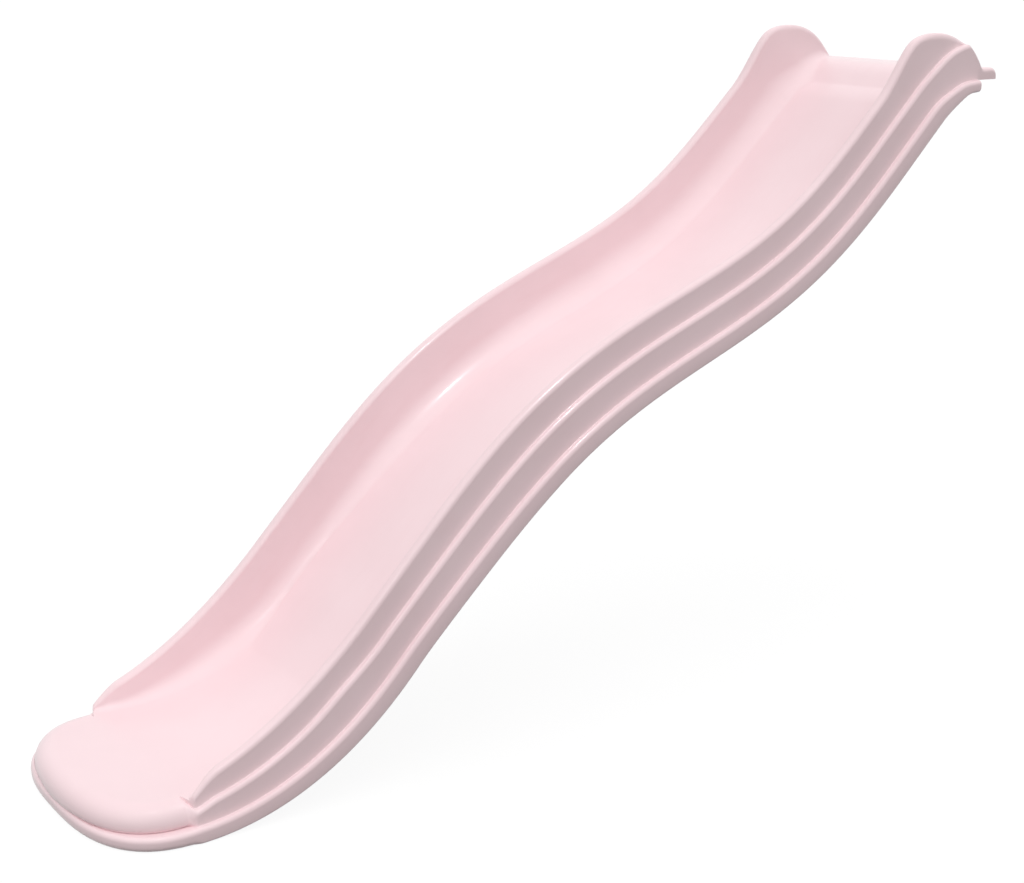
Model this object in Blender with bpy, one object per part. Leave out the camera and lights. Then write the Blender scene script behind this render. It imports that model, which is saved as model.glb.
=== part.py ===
"""A moulded wave slide for a play deck about 1.2 m high.

The slide is a hollow, double-walled plastic moulding. Its upper skin, the chute, has the bed, the
side walls, the run-out pad and the lip that rests on the deck. Its lower skin, the underside, has
the band that shows all along the bottom edge and the cross channels that carry the bed. Two screws
hold the lip to the deck.

The frame is in metres, with +Z up. The origin is the middle of the lip's flat underside, where it
rests on the deck. X runs across the slide, and the slide goes down towards -Y.

Every shape is set out from the bed line, which is the middle of the sliding surface in side view.
A place on the slide is (s, x, n): s is the length along the bed line from the start of the nose, x
is the distance from the middle plane, and n is the height above the bed line, square to it. In the
nose, s is below zero, and the outline closes round the front.
"""

import math

import bmesh
import bpy
import numpy as np

# The bed line from the foot up: each stretch's length, and how steep it is
FOOT_RADIUS = 0.555
LOWER_PITCH = math.radians(46.0)
LOWER_STRAIGHT = 0.175
HUMP_FALL = 0.645
HUMP_PITCH = math.radians(21.5)
HUMP_RISE = 0.600
UPPER_PITCH = math.radians(44.5)
UPPER_STRAIGHT = 0.194
CREST_RADIUS = 0.090
LIP_REACH = 0.054

# Half widths and side steps
RIM_HALF_WIDTH = 0.231
TOP_NARROWING = 0.003
RIM_THICKNESS = 0.025
RIM_RADIUS = 0.010
LEDGE_WIDTH = 0.012
LEDGE_RADIUS = 0.009
WALL_DRAFT = 0.14
BAND_DRAFT = 0.001
BED_FILLET = 0.045
BAND_EDGE_RADIUS = 0.005

# Heights above the bed line
RIM_HEIGHT = 0.112
EAR_HEIGHT = 0.135
EAR_LENGTH = 0.159
EAR_BACK_SLOPE = 1.60
EAR_BACK_START = 0.016
EAR_ROUNDING = 0.024
UPPER_LEDGE_HEIGHT = 0.0635
UPPER_LEDGE_AT_EAR = 0.052
SEAM_HEIGHT = 0.0135
UNDERSIDE_DEPTH = 0.0236
HUMP_DROP = 0.0118
DROP_KEPT = 0.35
LIP_DEPTH = 0.023
LIP_EDGE_RADIUS = 0.008
END_WALL_DEPTH = 0.046

# The run-out: how far up the bed line it takes to reach the full side, and the nose
WALL_TAPER = 0.430
WALL_EARLY = 0.24
FRONT_START = 0.012
FRONT_END = 0.043
FRONT_POWER = 0.60
LEDGE_START = 0.020
LEDGE_SLOPE = 0.21
LEDGE_DIP = 0.006
SEAM_TAPER = 0.475
SEAM_BLEND = 0.080
BOTTOM_TAPER = 0.490
BOTTOM_BLEND = 0.030
NOSE_LENGTH = 0.173
NOSE_LEDGE = 0.001
NOSE_INSET = 0.0085
NOSE_POWER = 2.75
NOSE_EDGE_WIDTH = 0.038
NOSE_EDGE_HEIGHT = 0.034
CREASE_START = 0.006
CREASE_END = 0.024
PAD_SEAM_DEPTH = 0.0410
PAD_DEPTH = 0.0670

# Wall thickness of the moulding, and the gap that is left where two pieces meet
SKIN = 0.0035
MEETING_GAP = 0.0003
SEAM_FLANGE = 0.029

# Channels across the underside, which rise to the bed and carry it
CHANNEL_COUNT = 7
CHANNEL_FIRST = 0.380
CHANNEL_LAST = 1.880
CHANNEL_WIDTH = 0.060
CHANNEL_SLOPE = 0.016
CHANNEL_HALF_LENGTH = 0.190

# Deck fixings, which are the same on both sides
SCREW_SPREAD = 0.130
SCREW_RADIUS = 0.0030
SCREW_REACH = 0.045
SCREW_HEAD_RADIUS = 0.0058
SCREW_HEAD_HEIGHT = 0.0040
SCREW_HOLE_RADIUS = 0.0036
DRIVE_RADIUS = 0.0026
DRIVE_DEPTH = 0.0022
WASHER_RADIUS = 0.0090
WASHER_THICKNESS = 0.0016
CAP_RADIUS = 0.0122
CAP_WALL = 0.0016
RECESS_DEPTH = 0.0100
BOSS_RADIUS = 0.0170
SEAT_RELIEF = 0.0008
FIT = 0.0003

# Plugs that close the two drain holes of the hollow
LOWER_PLUG = 0.140
UPPER_PLUG = 1.750
PLUG_HEAD_RADIUS = 0.010
PLUG_HEAD_THICKNESS = 0.0022
PLUG_STEM_RADIUS = 0.0065
PLUG_BARB_RADIUS = 0.0071
PLUG_STEM_LENGTH = 0.0090

ARC_STEPS = 3
FILLET_STEPS = 4
ROUND_STEPS = 28
NOSE_STEPS = 9

# Lengths along the bed line at which its stretches meet
FOOT_TOP = FOOT_RADIUS * LOWER_PITCH
FALL_TOP = FOOT_TOP + LOWER_STRAIGHT
HUMP_TOP = FALL_TOP + HUMP_FALL
RISE_TOP = HUMP_TOP + HUMP_RISE
CREST_START = RISE_TOP + UPPER_STRAIGHT
CREST_END = CREST_START + CREST_RADIUS * UPPER_PITCH
LIP_TIP = CREST_END + LIP_REACH


def share(s, start, end):
    """How far s has gone from start to end, from 0 to 1."""
    return np.clip((s - start) / (end - start), 0.0, 1.0)


def smooth(s, start, end):
    """A soft step from 0 at start to 1 at end."""
    u = share(s, start, end)
    return u * u * (3.0 - 2.0 * u)


def mix(a, b, u):
    return a + (b - a) * u


def lower_of(a, b, blend):
    """The smaller of two heights, with the corner between them rounded over about the blend."""
    return 0.5 * (a + b - np.sqrt((a - b) ** 2 + blend**2))


def pitch(s):
    """The bed line's slope: level in the nose, two steep stretches with a gentler hump between."""
    foot = LOWER_PITCH * share(s, 0.0, FOOT_TOP)
    fall = (LOWER_PITCH - HUMP_PITCH) * (1.0 - np.cos(np.pi * share(s, FALL_TOP, HUMP_TOP))) / 2.0
    rise = (UPPER_PITCH - HUMP_PITCH) * (1.0 - np.cos(np.pi * share(s, HUMP_TOP, RISE_TOP))) / 2.0
    crest = UPPER_PITCH * share(s, CREST_START, CREST_END)
    return foot - fall + rise - crest


def bed_line():
    """Lengths along the bed line and its places (y, z), with the lip's seat at the origin."""
    s = np.linspace(0.0, LIP_TIP, 2200)
    middle = pitch((s[1:] + s[:-1]) / 2.0)
    y = np.concatenate([[0.0], np.cumsum(np.cos(middle) * np.diff(s))])
    z = np.concatenate([[0.0], np.cumsum(np.sin(middle) * np.diff(s))])
    seat_y = np.interp(CREST_END, s, y) + LIP_REACH / 2.0
    seat_z = np.interp(CREST_END, s, z) - LIP_DEPTH
    return s, y - seat_y, z - seat_z


BED_S, BED_Y, BED_Z = bed_line()


def rim_height(s):
    """The wall's top: it rises from the pad, runs level with the bed and swells to the ear."""
    rise = np.sin(math.pi / 2.0 * share(s, -WALL_EARLY * WALL_TAPER, WALL_TAPER))
    front = np.sin(math.pi / 2.0 * share(s, -FRONT_START, FRONT_END)) ** FRONT_POWER
    ear = (EAR_HEIGHT - RIM_HEIGHT) * smooth(s, CREST_START - EAR_LENGTH, CREST_START)
    back = EAR_BACK_SLOPE * (CREST_END + EAR_BACK_START - s)
    return np.maximum(lower_of(RIM_HEIGHT * rise * front + ear, back, EAR_ROUNDING), 0.0)


def half_width(s):
    """Half the width over the walls' outer faces, which is a little less at the top of the slide."""
    return RIM_HALF_WIDTH - TOP_NARROWING * float(smooth(s, CREST_START - 0.30, CREST_START))


def hump_drop(s):
    """How much lower the side bands hang below the bed from the hump on than in the lower stretch."""
    after = (1.0 - DROP_KEPT) * smooth(s, HUMP_TOP - 0.35, RISE_TOP)
    return HUMP_DROP * (smooth(s, FOOT_TOP, FALL_TOP + 0.25) - after)


def upper_ledge_height(s):
    """The step between the upper and the middle side band. It runs down past the pad's top edge."""
    side = mix(UPPER_LEDGE_HEIGHT, UPPER_LEDGE_AT_EAR, smooth(s, CREST_START - 0.08, CREST_END))
    side = lower_of(LEDGE_SLOPE * (s - LEDGE_START), side - 0.5 * hump_drop(s), 0.008)
    return np.minimum(side - LEDGE_DIP * smooth(-s, -0.030, 0.010), rim_height(s))


def seam_height(s):
    """The line where the two skins of the moulding meet, on top of the lowest band."""
    side = mix(-PAD_SEAM_DEPTH, SEAM_HEIGHT, smooth(s, -SEAM_BLEND, SEAM_TAPER)) - hump_drop(s)
    seat = -LIP_DEPTH + SEAT_RELIEF * (1.0 - share(s, CREST_END + 0.003, CREST_END + 0.006))
    return mix(side, seat, smooth(s, CREST_START - 0.080, CREST_END - 0.010))


def underside_height(s):
    side = mix(-PAD_DEPTH, -UNDERSIDE_DEPTH, smooth(s, -BOTTOM_BLEND, BOTTOM_TAPER)) - hump_drop(s)
    return mix(side, -END_WALL_DEPTH, smooth(s, CREST_START - 0.080, CREST_END - 0.010))


def in_nose(s):
    """How far the side bands have given way to the pad's rounded edge, in front of the crease."""
    return float(smooth(-s, CREASE_START, CREASE_END))


def nose_turn(s):
    """How far a station in the nose has gone round from the side to the tip."""
    return math.asin(min(max(-s / NOSE_LENGTH, 0.0), 1.0) ** (NOSE_POWER / 2.0))


def nose_inset(s):
    """How far the pad's side stands in from the middle band that ends at the crease."""
    return NOSE_INSET * in_nose(s) * math.cos(nose_turn(s))


def outline(half_width, length, s):
    """A place on the nose's outline in plan, forwards from its start, and the outward direction."""
    turn = nose_turn(s)
    c = math.cos(turn) if turn < math.pi / 2.0 - 1e-6 else 0.0
    d = math.sin(turn)
    place = half_width * c ** (2.0 / NOSE_POWER), length * d ** (2.0 / NOSE_POWER)
    normal = c ** (2.0 - 2.0 / NOSE_POWER) / half_width, d ** (2.0 - 2.0 / NOSE_POWER) / length
    size = math.hypot(*normal)
    return place, (normal[0] / size, normal[1] / size)


def along(s, length):
    """The length along the bed line to a place on the nose's outline, or s itself on the slide."""
    return s if s >= 0.0 else -outline(1.0, length, s)[0][1]


def place_in_frame(s, x, n, half_width, length):
    """The place (s, x, n) in the frame. In the nose, the outline of that half width closes round."""
    if s >= 0.0:
        a = float(pitch(s))
        y = float(np.interp(s, BED_S, BED_Y)) - n * math.sin(a)
        z = float(np.interp(s, BED_S, BED_Z)) + n * math.cos(a)
        return x, y, z
    (ox, oy), (nx, ny) = outline(half_width, length, s)
    reach = 0.28 * half_width
    inwards = half_width - abs(x)
    part = 1.0 if inwards < reach else abs(x) / (half_width - reach)
    edge_x, edge_y = ox - min(inwards, reach) * nx, oy - min(inwards, reach) * ny
    return math.copysign(max(edge_x, 0.0) * part, x), BED_Y[0] - edge_y, BED_Z[0] + n


def quarter(x, n, width, height, steps, outer_first):
    """A quarter round from its upright end to its level end, or back, as (x, n) places.

    x, n is the corner that the two ends' tangents share. A negative width or height turns it over.
    """
    turn = np.linspace(0.0, math.pi / 2.0, steps + 1)
    places = [(x - width * (1.0 - math.cos(t)), n - height * (1.0 - math.sin(t))) for t in turn]
    return places if outer_first else places[::-1]


def chute_half(s, inset, arc_steps, fillet_steps):
    """The chute's right half across the slide, from its lower edge over the wall to the middle.

    An inset gives the inner face of the skin, that far inside the outer face.
    """
    nose = in_nose(s)
    rim = float(min(rim_height(s), rim_height(s + 0.6 * inset))) - inset
    ledge = min((1.0 - nose) * float(upper_ledge_height(s)) - inset, rim)
    ledge_round = mix(LEDGE_RADIUS, NOSE_EDGE_WIDTH, nose) - inset * 0.5
    ledge_drop = mix(LEDGE_RADIUS, NOSE_EDGE_HEIGHT, nose) - inset * 0.5
    side = half_width(s) + LEDGE_WIDTH - nose_inset(s) - inset
    wall = min(half_width(s) - inset, side - ledge_round - 0.002)
    inner = wall - RIM_THICKNESS + 2.0 * inset
    rim_round = RIM_RADIUS - inset
    outer_drop = min(rim_round, max(rim - ledge, 0.0))
    inner_drop = min(rim_round, 0.45 * (rim + inset))
    fillet = BED_FILLET + inset
    fillet_drop = min(fillet, max(rim + inset - inner_drop, 0.0))
    foot = inner - WALL_DRAFT * (rim + inset - inner_drop - fillet_drop)
    places = [(side, float(seam_height(along(s, NOSE_LENGTH))))]
    places += quarter(side, ledge, ledge_round, ledge_drop, arc_steps, True)
    places.append((wall, ledge))
    places += quarter(wall - BAND_DRAFT, rim, rim_round, outer_drop, arc_steps, True)
    places += quarter(inner, rim, -rim_round, inner_drop, arc_steps, False)
    return places + quarter(foot, -inset, fillet, -fillet_drop, fillet_steps, True)


def chute_loop(s, top_drop=0.0):
    """One section of the chute's outer face in the frame, from one lower edge to the other."""
    half = chute_half(s, 0.0, ARC_STEPS, FILLET_STEPS)
    if top_drop:
        half = [(x, max(n - top_drop, half[0][1])) for x, n in half]
    return [place_in_frame(s, x, n, RIM_HALF_WIDTH + LEDGE_WIDTH, NOSE_LENGTH) for x, n in across(half)]


def chute_inner_loop(s, rise=0.0, top_drop=0.0):
    """One section of the chute's inner face. Over the lip's floor, it ends a rise above the edge."""
    (side, seam), *places = chute_half(s, SKIN, 2, 3)
    half = [(side, seam + rise)] + [(x, n - top_drop) for x, n in places]
    return [place_in_frame(s, x, n, RIM_HALF_WIDTH + LEDGE_WIDTH, NOSE_LENGTH) for x, n in across(half)]


def channel(s, widen):
    """How far a channel of the underside has risen at s, from 0 to 1."""
    middle = np.linspace(CHANNEL_FIRST, CHANNEL_LAST, CHANNEL_COUNT)
    near = float(np.abs(middle - s).min()) - CHANNEL_WIDTH / 2.0 - widen
    return 1.0 - float(share(near, -CHANNEL_SLOPE, 0.0))


def underside_loop(s, bottom_lift=0.0):
    """One section of the underside's outer face, from one flange over the bottom to the other."""
    side = half_width(s) + 2.0 * LEDGE_WIDTH
    length = NOSE_LENGTH + NOSE_LEDGE
    ledge = mix(LEDGE_WIDTH, NOSE_LEDGE, math.sin(nose_turn(s)) ** 2)
    top = float(seam_height(along(s, length))) - MEETING_GAP
    bottom = float(underside_height(along(s, length))) + bottom_lift
    risen = mix(bottom, -2.0 * SKIN - MEETING_GAP, channel(s, 0.0))
    half = [(side - SEAM_FLANGE, top)]
    half += quarter(side, top, 0.75 * ledge, 0.75 * ledge, ARC_STEPS, False)
    half += quarter(side, bottom, BAND_EDGE_RADIUS, -BAND_EDGE_RADIUS, 2, True)
    half += [(CHANNEL_HALF_LENGTH + CHANNEL_SLOPE, bottom), (CHANNEL_HALF_LENGTH, risen)]
    return [place_in_frame(s, x, n, side, length) for x, n in across(half)]


def underside_inner_loop(s):
    """One section of the underside's inner face, from the lower side of one flange to the other."""
    side = half_width(s) + 2.0 * LEDGE_WIDTH
    length = NOSE_LENGTH + NOSE_LEDGE
    top = float(seam_height(along(s, length))) - MEETING_GAP - SKIN
    bottom = float(underside_height(along(s, length))) + SKIN
    widen = 0.6 * SKIN
    risen = mix(bottom, -SKIN - MEETING_GAP, channel(s, widen))
    half = [
        (side - SEAM_FLANGE, top),
        (side - SKIN - 0.006, top),
        (side - SKIN, top - 0.006),
        (side - SKIN, bottom + 0.003),
        (side - SKIN - 0.003, bottom),
        (CHANNEL_HALF_LENGTH + CHANNEL_SLOPE + widen, bottom),
        (CHANNEL_HALF_LENGTH + widen, risen),
    ]
    return [place_in_frame(s, x, n, side, length) for x, n in across(half)]


def nose_stations():
    """Places in front of the crease, at equal turns of the nose's outline, from the tip back."""
    turns = np.linspace(math.pi / 2.0, 0.0, NOSE_STEPS + 1)[:-1]
    return [-NOSE_LENGTH * math.sin(turn) ** (2.0 / NOSE_POWER) for turn in turns]


def body_stations():
    """Places along the slide where both skins have a section, so that they fit each other."""
    middle = np.linspace(CHANNEL_FIRST, CHANNEL_LAST, CHANNEL_COUNT)
    half = CHANNEL_WIDTH / 2.0
    slope = CHANNEL_SLOPE
    channels = [m + d for m in middle for d in (-half, -half + slope, half - slope, half)]
    between = list((middle[1:] + middle[:-1]) / 2.0)
    foot = list(np.linspace(0.055, CHANNEL_FIRST - half, 6)[:-1])
    ear = [CHANNEL_LAST + half + 0.055, CREST_START - 0.030, CREST_START - 0.010]
    crest = list(np.linspace(CREST_START, CREST_END, 8))
    front = list(np.linspace(-CREASE_END, -CREASE_START, 4)) + [0.0, 0.010, 0.028]
    return sorted([*front, *foot, *channels, *between, *ear, *crest])


def mesh_object(name, verts, faces):
    """A new object from places and faces, with coincident places made one and faces outwards."""
    mesh = bpy.data.meshes.new(name)
    mesh.from_pydata([tuple(v) for v in verts], [], faces)
    shape = bmesh.new()
    shape.from_mesh(mesh)
    bmesh.ops.remove_doubles(shape, verts=shape.verts, dist=2e-6)
    bmesh.ops.triangulate(shape, faces=shape.faces, quad_method="SHORT_EDGE")
    bmesh.ops.recalc_face_normals(shape, faces=shape.faces)
    shape.to_mesh(mesh)
    shape.free()
    made = bpy.data.objects.new(name, mesh)
    bpy.context.scene.collection.objects.link(made)
    return made


def across(half):
    """Both halves of a section, from the right lower edge over the middle to the left one."""
    return half + [(-x, n) for x, n in half[::-1]]


def strips(loops):
    """Faces between each loop and the next."""
    pairs = [(a, b) for a, b in zip(loops[:-1], loops[1:])]
    return [(a[j], a[j + 1], b[j + 1], b[j]) for a, b in pairs for j in range(len(a) - 1)]


def rungs(loop, places):
    """Faces that close a mirrored loop: each place is joined to the one across from it.

    The places in line with the innermost one all go into the last face.
    """
    sides = np.array(places)[: len(places) // 2, 1:]
    in_line = np.linalg.norm(sides - sides[-1], axis=1) < 1e-6
    last = max(int(np.argmax(in_line)) - 1, 0)
    steps = [(loop[j], loop[j + 1], loop[-2 - j], loop[-1 - j]) for j in range(last)]
    return steps + [tuple(loop[last : len(loop) - last])]


def crossings(loops):
    """Faces from one side to the other, between the first and last places of each loop and the next."""
    return [(a[0], a[-1], b[-1], b[0]) for a, b in zip(loops[:-1], loops[1:])]


def edge_faces(outer, inner):
    """The faces of a skin's edge on both sides, between outer loops and as many inner ones."""
    faces = []
    for k in range(len(outer) - 1):
        for end in (0, -1):
            faces.append((outer[k][end], outer[k + 1][end], inner[k + 1][end], inner[k][end]))
    return faces


def skin_object(name, outer_places, inner_places, closed_from, floor_edge=None):
    """A skin from an outer and an inner face, which both go round the nose.

    The outer loops begin with one at the nose's tip, with no inner one beside it. After that, outer
    and inner loops go in pairs up to number closed_from. From there on, both faces are closed from
    side to side, and floor_edge is the pair of places where the floor that closes them begins.
    """
    verts = [place for loop in outer_places + inner_places for place in loop]
    starts = np.cumsum([0] + [len(loop) for loop in outer_places + inner_places])
    loops = [list(range(a, b)) for a, b in zip(starts[:-1], starts[1:])]
    outer, inner = loops[: len(outer_places)], loops[len(outer_places) :]
    faces = strips(outer) + strips(inner) + rungs(inner[0], inner_places[0])
    faces += [tuple(outer[-1]), tuple(inner[-1])]
    faces.append((outer[0][0], outer[1][0], inner[0][0], inner[0][-1], outer[1][-1]))
    n = closed_from
    if floor_edge is None:
        faces += edge_faces(outer[1 : n + 1], inner[:n])
        faces.append((outer[n][0], outer[n][-1], inner[n - 1][-1], inner[n - 1][0]))
        faces += crossings(outer[n:])
        return mesh_object(name, verts, faces)
    right, left = len(verts), len(verts) + 1
    verts += floor_edge
    faces += edge_faces(outer[1 : n + 1], inner[: n - 1] + [[right, left]])
    faces.append((inner[n - 2][0], right, inner[n - 1][0]))
    faces.append((inner[n - 2][-1], left, inner[n - 1][-1]))
    faces.append((right, left, inner[n - 1][-1], inner[n - 1][0]))
    faces.append((outer[n][0], right, left, outer[n][-1], outer[n + 1][-1], outer[n + 1][0]))
    faces += crossings(outer[n + 1 :]) + crossings(inner[n - 1 :])
    return mesh_object(name, verts, faces)


def turned(name, profile, middle, up=(0.0, 0.0, 1.0), steps=ROUND_STEPS):
    """A solid of revolution. The profile is (radius, height) places, on the axis or a closed ring."""
    axis = np.array(up, float) / np.linalg.norm(up)
    side = np.array([1.0, 0.0, 0.0])
    other = np.cross(axis, side)
    verts = [
        np.array(middle) + r * (math.cos(t) * side + math.sin(t) * other) + h * axis
        for r, h in profile
        for t in np.linspace(0.0, 2.0 * math.pi, steps, endpoint=False)
    ]
    rings = len(profile) - (1 if profile[0][0] == 0.0 else 0)
    faces = []
    for k in range(rings):
        for j in range(steps):
            a, b = k * steps + j, k * steps + (j + 1) % steps
            c = (k + 1) % len(profile) * steps
            faces.append((a, b, c + (j + 1) % steps, c + j))
    return mesh_object(name, verts, faces)


def combine(target, other, operation):
    """A Boolean with another object, which is then only a helper."""
    modifier = target.modifiers.new(other.name, "BOOLEAN")
    modifier.operation = operation
    modifier.solver = "EXACT"
    modifier.object = other
    other.hide_render = True
    other.display_type = "WIRE"


def weld(target):
    """Makes the very close places one that a Boolean leaves where two edges nearly meet."""
    modifier = target.modifiers.new("weld", "WELD")
    modifier.merge_threshold = 0.00003


def plastic(name, colour, roughness, coat=0.0):
    material = bpy.data.materials.new(name)
    material.use_nodes = True
    shader = material.node_tree.nodes["Principled BSDF"]
    shader.inputs["Base Color"].default_value = (*colour, 1.0)
    shader.inputs["Roughness"].default_value = roughness
    shader.inputs["Coat Weight"].default_value = coat
    return material


def metal(name, colour, roughness):
    material = plastic(name, colour, roughness)
    material.node_tree.nodes["Principled BSDF"].inputs["Metallic"].default_value = 1.0
    return material


def rounding(back, radius):
    """How far a rounded edge is below its corner, at a place that far back from the end."""
    return radius - math.sqrt(max(radius**2 - max(radius - back, 0.0) ** 2, 0.0))


def chute_shell():
    """The upper skin. It is open underneath, and has a floor only under the lip."""
    stations = nose_stations() + body_stations()
    floor_start = max(k for k, s in enumerate(stations) if s < CREST_END - 0.025)
    seat = [CREST_END + d for d in (0.003, 0.006, 0.012)]
    outer = [chute_loop(s) for s in stations + seat]
    for back in (LIP_EDGE_RADIUS, 0.45 * LIP_EDGE_RADIUS, 0.12 * LIP_EDGE_RADIUS, 0.0):
        outer.append(chute_loop(LIP_TIP - back, rounding(back, LIP_EDGE_RADIUS)))
    inner = [chute_inner_loop(s) for s in stations[1:floor_start]]
    inner += [chute_inner_loop(s, SKIN) for s in stations[floor_start:] + seat]
    inner.append(chute_inner_loop(LIP_TIP - LIP_EDGE_RADIUS, SKIN))
    inner.append(chute_inner_loop(LIP_TIP - SKIN, SKIN, 0.3 * LIP_EDGE_RADIUS))
    s = stations[floor_start]
    edge = half_width(s) + LEDGE_WIDTH
    low = float(seam_height(s))
    floor_edge = [place_in_frame(s, x, low, edge, NOSE_LENGTH) for x in (edge - SKIN, SKIN - edge)]
    return skin_object("chute_shell", outer, inner, floor_start, floor_edge)


def screw_places():
    return {"left": -SCREW_SPREAD, "right": SCREW_SPREAD}


def lip_bosses(shell):
    """Solid bosses in the hollow lip, each with a recess from the top and a hole for its screw."""
    for side, x in screw_places().items():
        floor = LIP_DEPTH - RECESS_DEPTH
        rest = 0.5 * SKIN
        boss = [(0.0, rest), (BOSS_RADIUS, rest), (BOSS_RADIUS, LIP_DEPTH - rest), (0.0, LIP_DEPTH - rest)]
        combine(shell, turned(f"boss_{side}", boss, (x, 0.0, 0.0)), "UNION")
        wide, narrow = CAP_RADIUS + FIT, SCREW_HOLE_RADIUS
        recess = [(0.0, -0.01), (narrow, -0.01), (narrow, floor), (wide, floor), (wide, 0.05), (0.0, 0.05)]
        combine(shell, turned(f"recess_{side}", recess, (x, 0.0, 0.0)), "DIFFERENCE")


def underside_shell():
    """The lower skin: an open tray with a flange that the chute's edge stands on."""
    stations = nose_stations() + body_stations()[:-1]
    middle = np.linspace(CHANNEL_FIRST, CHANNEL_LAST, CHANNEL_COUNT)
    outer = [underside_loop(s) for s in stations]
    for back in (BAND_EDGE_RADIUS, SKIN, 0.3 * BAND_EDGE_RADIUS, 0.0):
        outer.append(underside_loop(CREST_END - back, rounding(back, BAND_EDGE_RADIUS)))
    inner = []
    for s in stations[1:]:
        off = s - middle[np.abs(middle - s).argmin()]
        widen = 0.6 * SKIN if abs(off) < CHANNEL_WIDTH / 2.0 + 1e-6 else 0.0
        inner.append(underside_inner_loop(s + math.copysign(widen, off)))
    inner += [underside_inner_loop(CREST_END - back) for back in (BAND_EDGE_RADIUS, SKIN)]
    return skin_object("underside_shell", outer, inner, len(inner))


def plug(name, s, shell):
    """A drain hole in the middle of the underside, square to its surface, and the plug in it."""
    stations = body_stations()
    k = int(np.searchsorted(stations, s))
    ends = [
        np.array(place_in_frame(t, 0.0, float(underside_height(t)), 1.0, NOSE_LENGTH))
        for t in stations[k - 1 : k + 1]
    ]
    middle = (ends[0] + ends[1]) / 2.0
    run = ends[1] - ends[0]
    down = (0.0, run[2], -run[1])
    hole = PLUG_STEM_RADIUS + FIT
    cutter = [(0.0, -0.006), (hole, -0.006), (hole, 0.006), (0.0, 0.006)]
    combine(shell, turned(f"{name}_hole", cutter, middle, down), "DIFFERENCE")
    inner_face = -SKIN - MEETING_GAP
    profile = [
        (0.0, -PLUG_STEM_LENGTH),
        (PLUG_STEM_RADIUS - 0.0008, -PLUG_STEM_LENGTH),
        (PLUG_BARB_RADIUS, inner_face - 0.0020),
        (PLUG_BARB_RADIUS, inner_face - 0.0004),
        (PLUG_STEM_RADIUS, inner_face),
        (PLUG_STEM_RADIUS, MEETING_GAP),
        (PLUG_HEAD_RADIUS, MEETING_GAP),
        (PLUG_HEAD_RADIUS, 0.5 * PLUG_HEAD_THICKNESS),
        (PLUG_HEAD_RADIUS - 0.0012, PLUG_HEAD_THICKNESS),
        (0.0, PLUG_HEAD_THICKNESS),
    ]
    return turned(name, profile, middle, down)


def deck_fixing(side, x):
    """A screw, its washer and its cap, one above the other in a recess of the lip."""
    floor = LIP_DEPTH - RECESS_DEPTH
    low = floor + MEETING_GAP
    high = low + WASHER_THICKNESS
    bore = SCREW_HOLE_RADIUS
    washer = [(bore, low), (WASHER_RADIUS, low), (WASHER_RADIUS, high), (bore, high)]
    washer = turned(f"deck_washer_{side}", washer, (x, 0.0, 0.0))

    seat = high + MEETING_GAP
    top = seat + SCREW_HEAD_HEIGHT
    profile = [
        (0.0, -SCREW_REACH),
        (0.25 * SCREW_RADIUS, -SCREW_REACH + 0.0010),
        (SCREW_RADIUS, -SCREW_REACH + 0.0090),
        (SCREW_RADIUS, seat),
        (SCREW_HEAD_RADIUS, seat),
        (SCREW_HEAD_RADIUS, top - 0.0018),
        (SCREW_HEAD_RADIUS - 0.0012, top - 0.0005),
        (SCREW_HEAD_RADIUS - 0.0022, top),
        (0.0, top),
    ]
    screw = turned(f"deck_screw_{side}", profile, (x, 0.0, 0.0))
    low_end, high_end = top - DRIVE_DEPTH, top + 0.002
    drive = [(0.0, low_end), (DRIVE_RADIUS, low_end), (DRIVE_RADIUS, high_end), (0.0, high_end)]
    combine(screw, turned(f"drive_{side}", drive, (x, 0.0, 0.0), steps=6), "DIFFERENCE")

    under = LIP_DEPTH - CAP_WALL
    bore = CAP_RADIUS - CAP_WALL
    profile = [
        (0.0, under),
        (bore, under),
        (bore, low),
        (CAP_RADIUS, low),
        (CAP_RADIUS, LIP_DEPTH - 0.0006),
        (CAP_RADIUS - 0.0006, LIP_DEPTH),
        (0.0, LIP_DEPTH),
    ]
    return screw, washer, turned(f"screw_cap_{side}", profile, (x, 0.0, 0.0))


def clear_scene():
    for old in list(bpy.data.objects):
        bpy.data.objects.remove(old, do_unlink=True)


def main():
    clear_scene()
    pink = (0.86, 0.60, 0.63)
    chute = chute_shell()
    weld(chute)
    lip_bosses(chute)
    weld(chute)
    chute.data.materials.append(plastic("chute_polyethylene", pink, 0.33, 0.15))
    underside = underside_shell()
    weld(underside)
    for name, s in (("drain_plug_lower", LOWER_PLUG), ("drain_plug_upper", UPPER_PLUG)):
        made = plug(name, s, underside)
        made.data.materials.append(plastic(f"{name}_rubber", (0.10, 0.10, 0.11), 0.75))
    weld(underside)
    underside.data.materials.append(plastic("underside_polyethylene", pink, 0.38, 0.10))
    for side, x in screw_places().items():
        screw, washer, cap = deck_fixing(side, x)
        screw.data.materials.append(metal(f"screw_steel_{side}", (0.62, 0.62, 0.61), 0.32))
        washer.data.materials.append(metal(f"washer_steel_{side}", (0.66, 0.66, 0.65), 0.36))
        cap.data.materials.append(plastic(f"cap_plastic_{side}", pink, 0.40))


main()
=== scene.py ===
# %% [markdown]
# # A moulded wave slide for a play deck
#
# The real slide is a hollow moulding of pink polyethylene, about two metres long on the ground. Its
# upper skin has the bed, the two side walls and a rounded run-out pad. Its lower skin shows as a
# band all along the bottom edge. Two screws, under round caps, hold its lip to the deck.
#
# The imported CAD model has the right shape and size, but few facets and plain colours. This lesson
# makes every piece again as a fine surface that numpy works out, in the same frame, and gives each
# one a finish. Loading the model first gives the frame that everything else is set in.

import math

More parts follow.
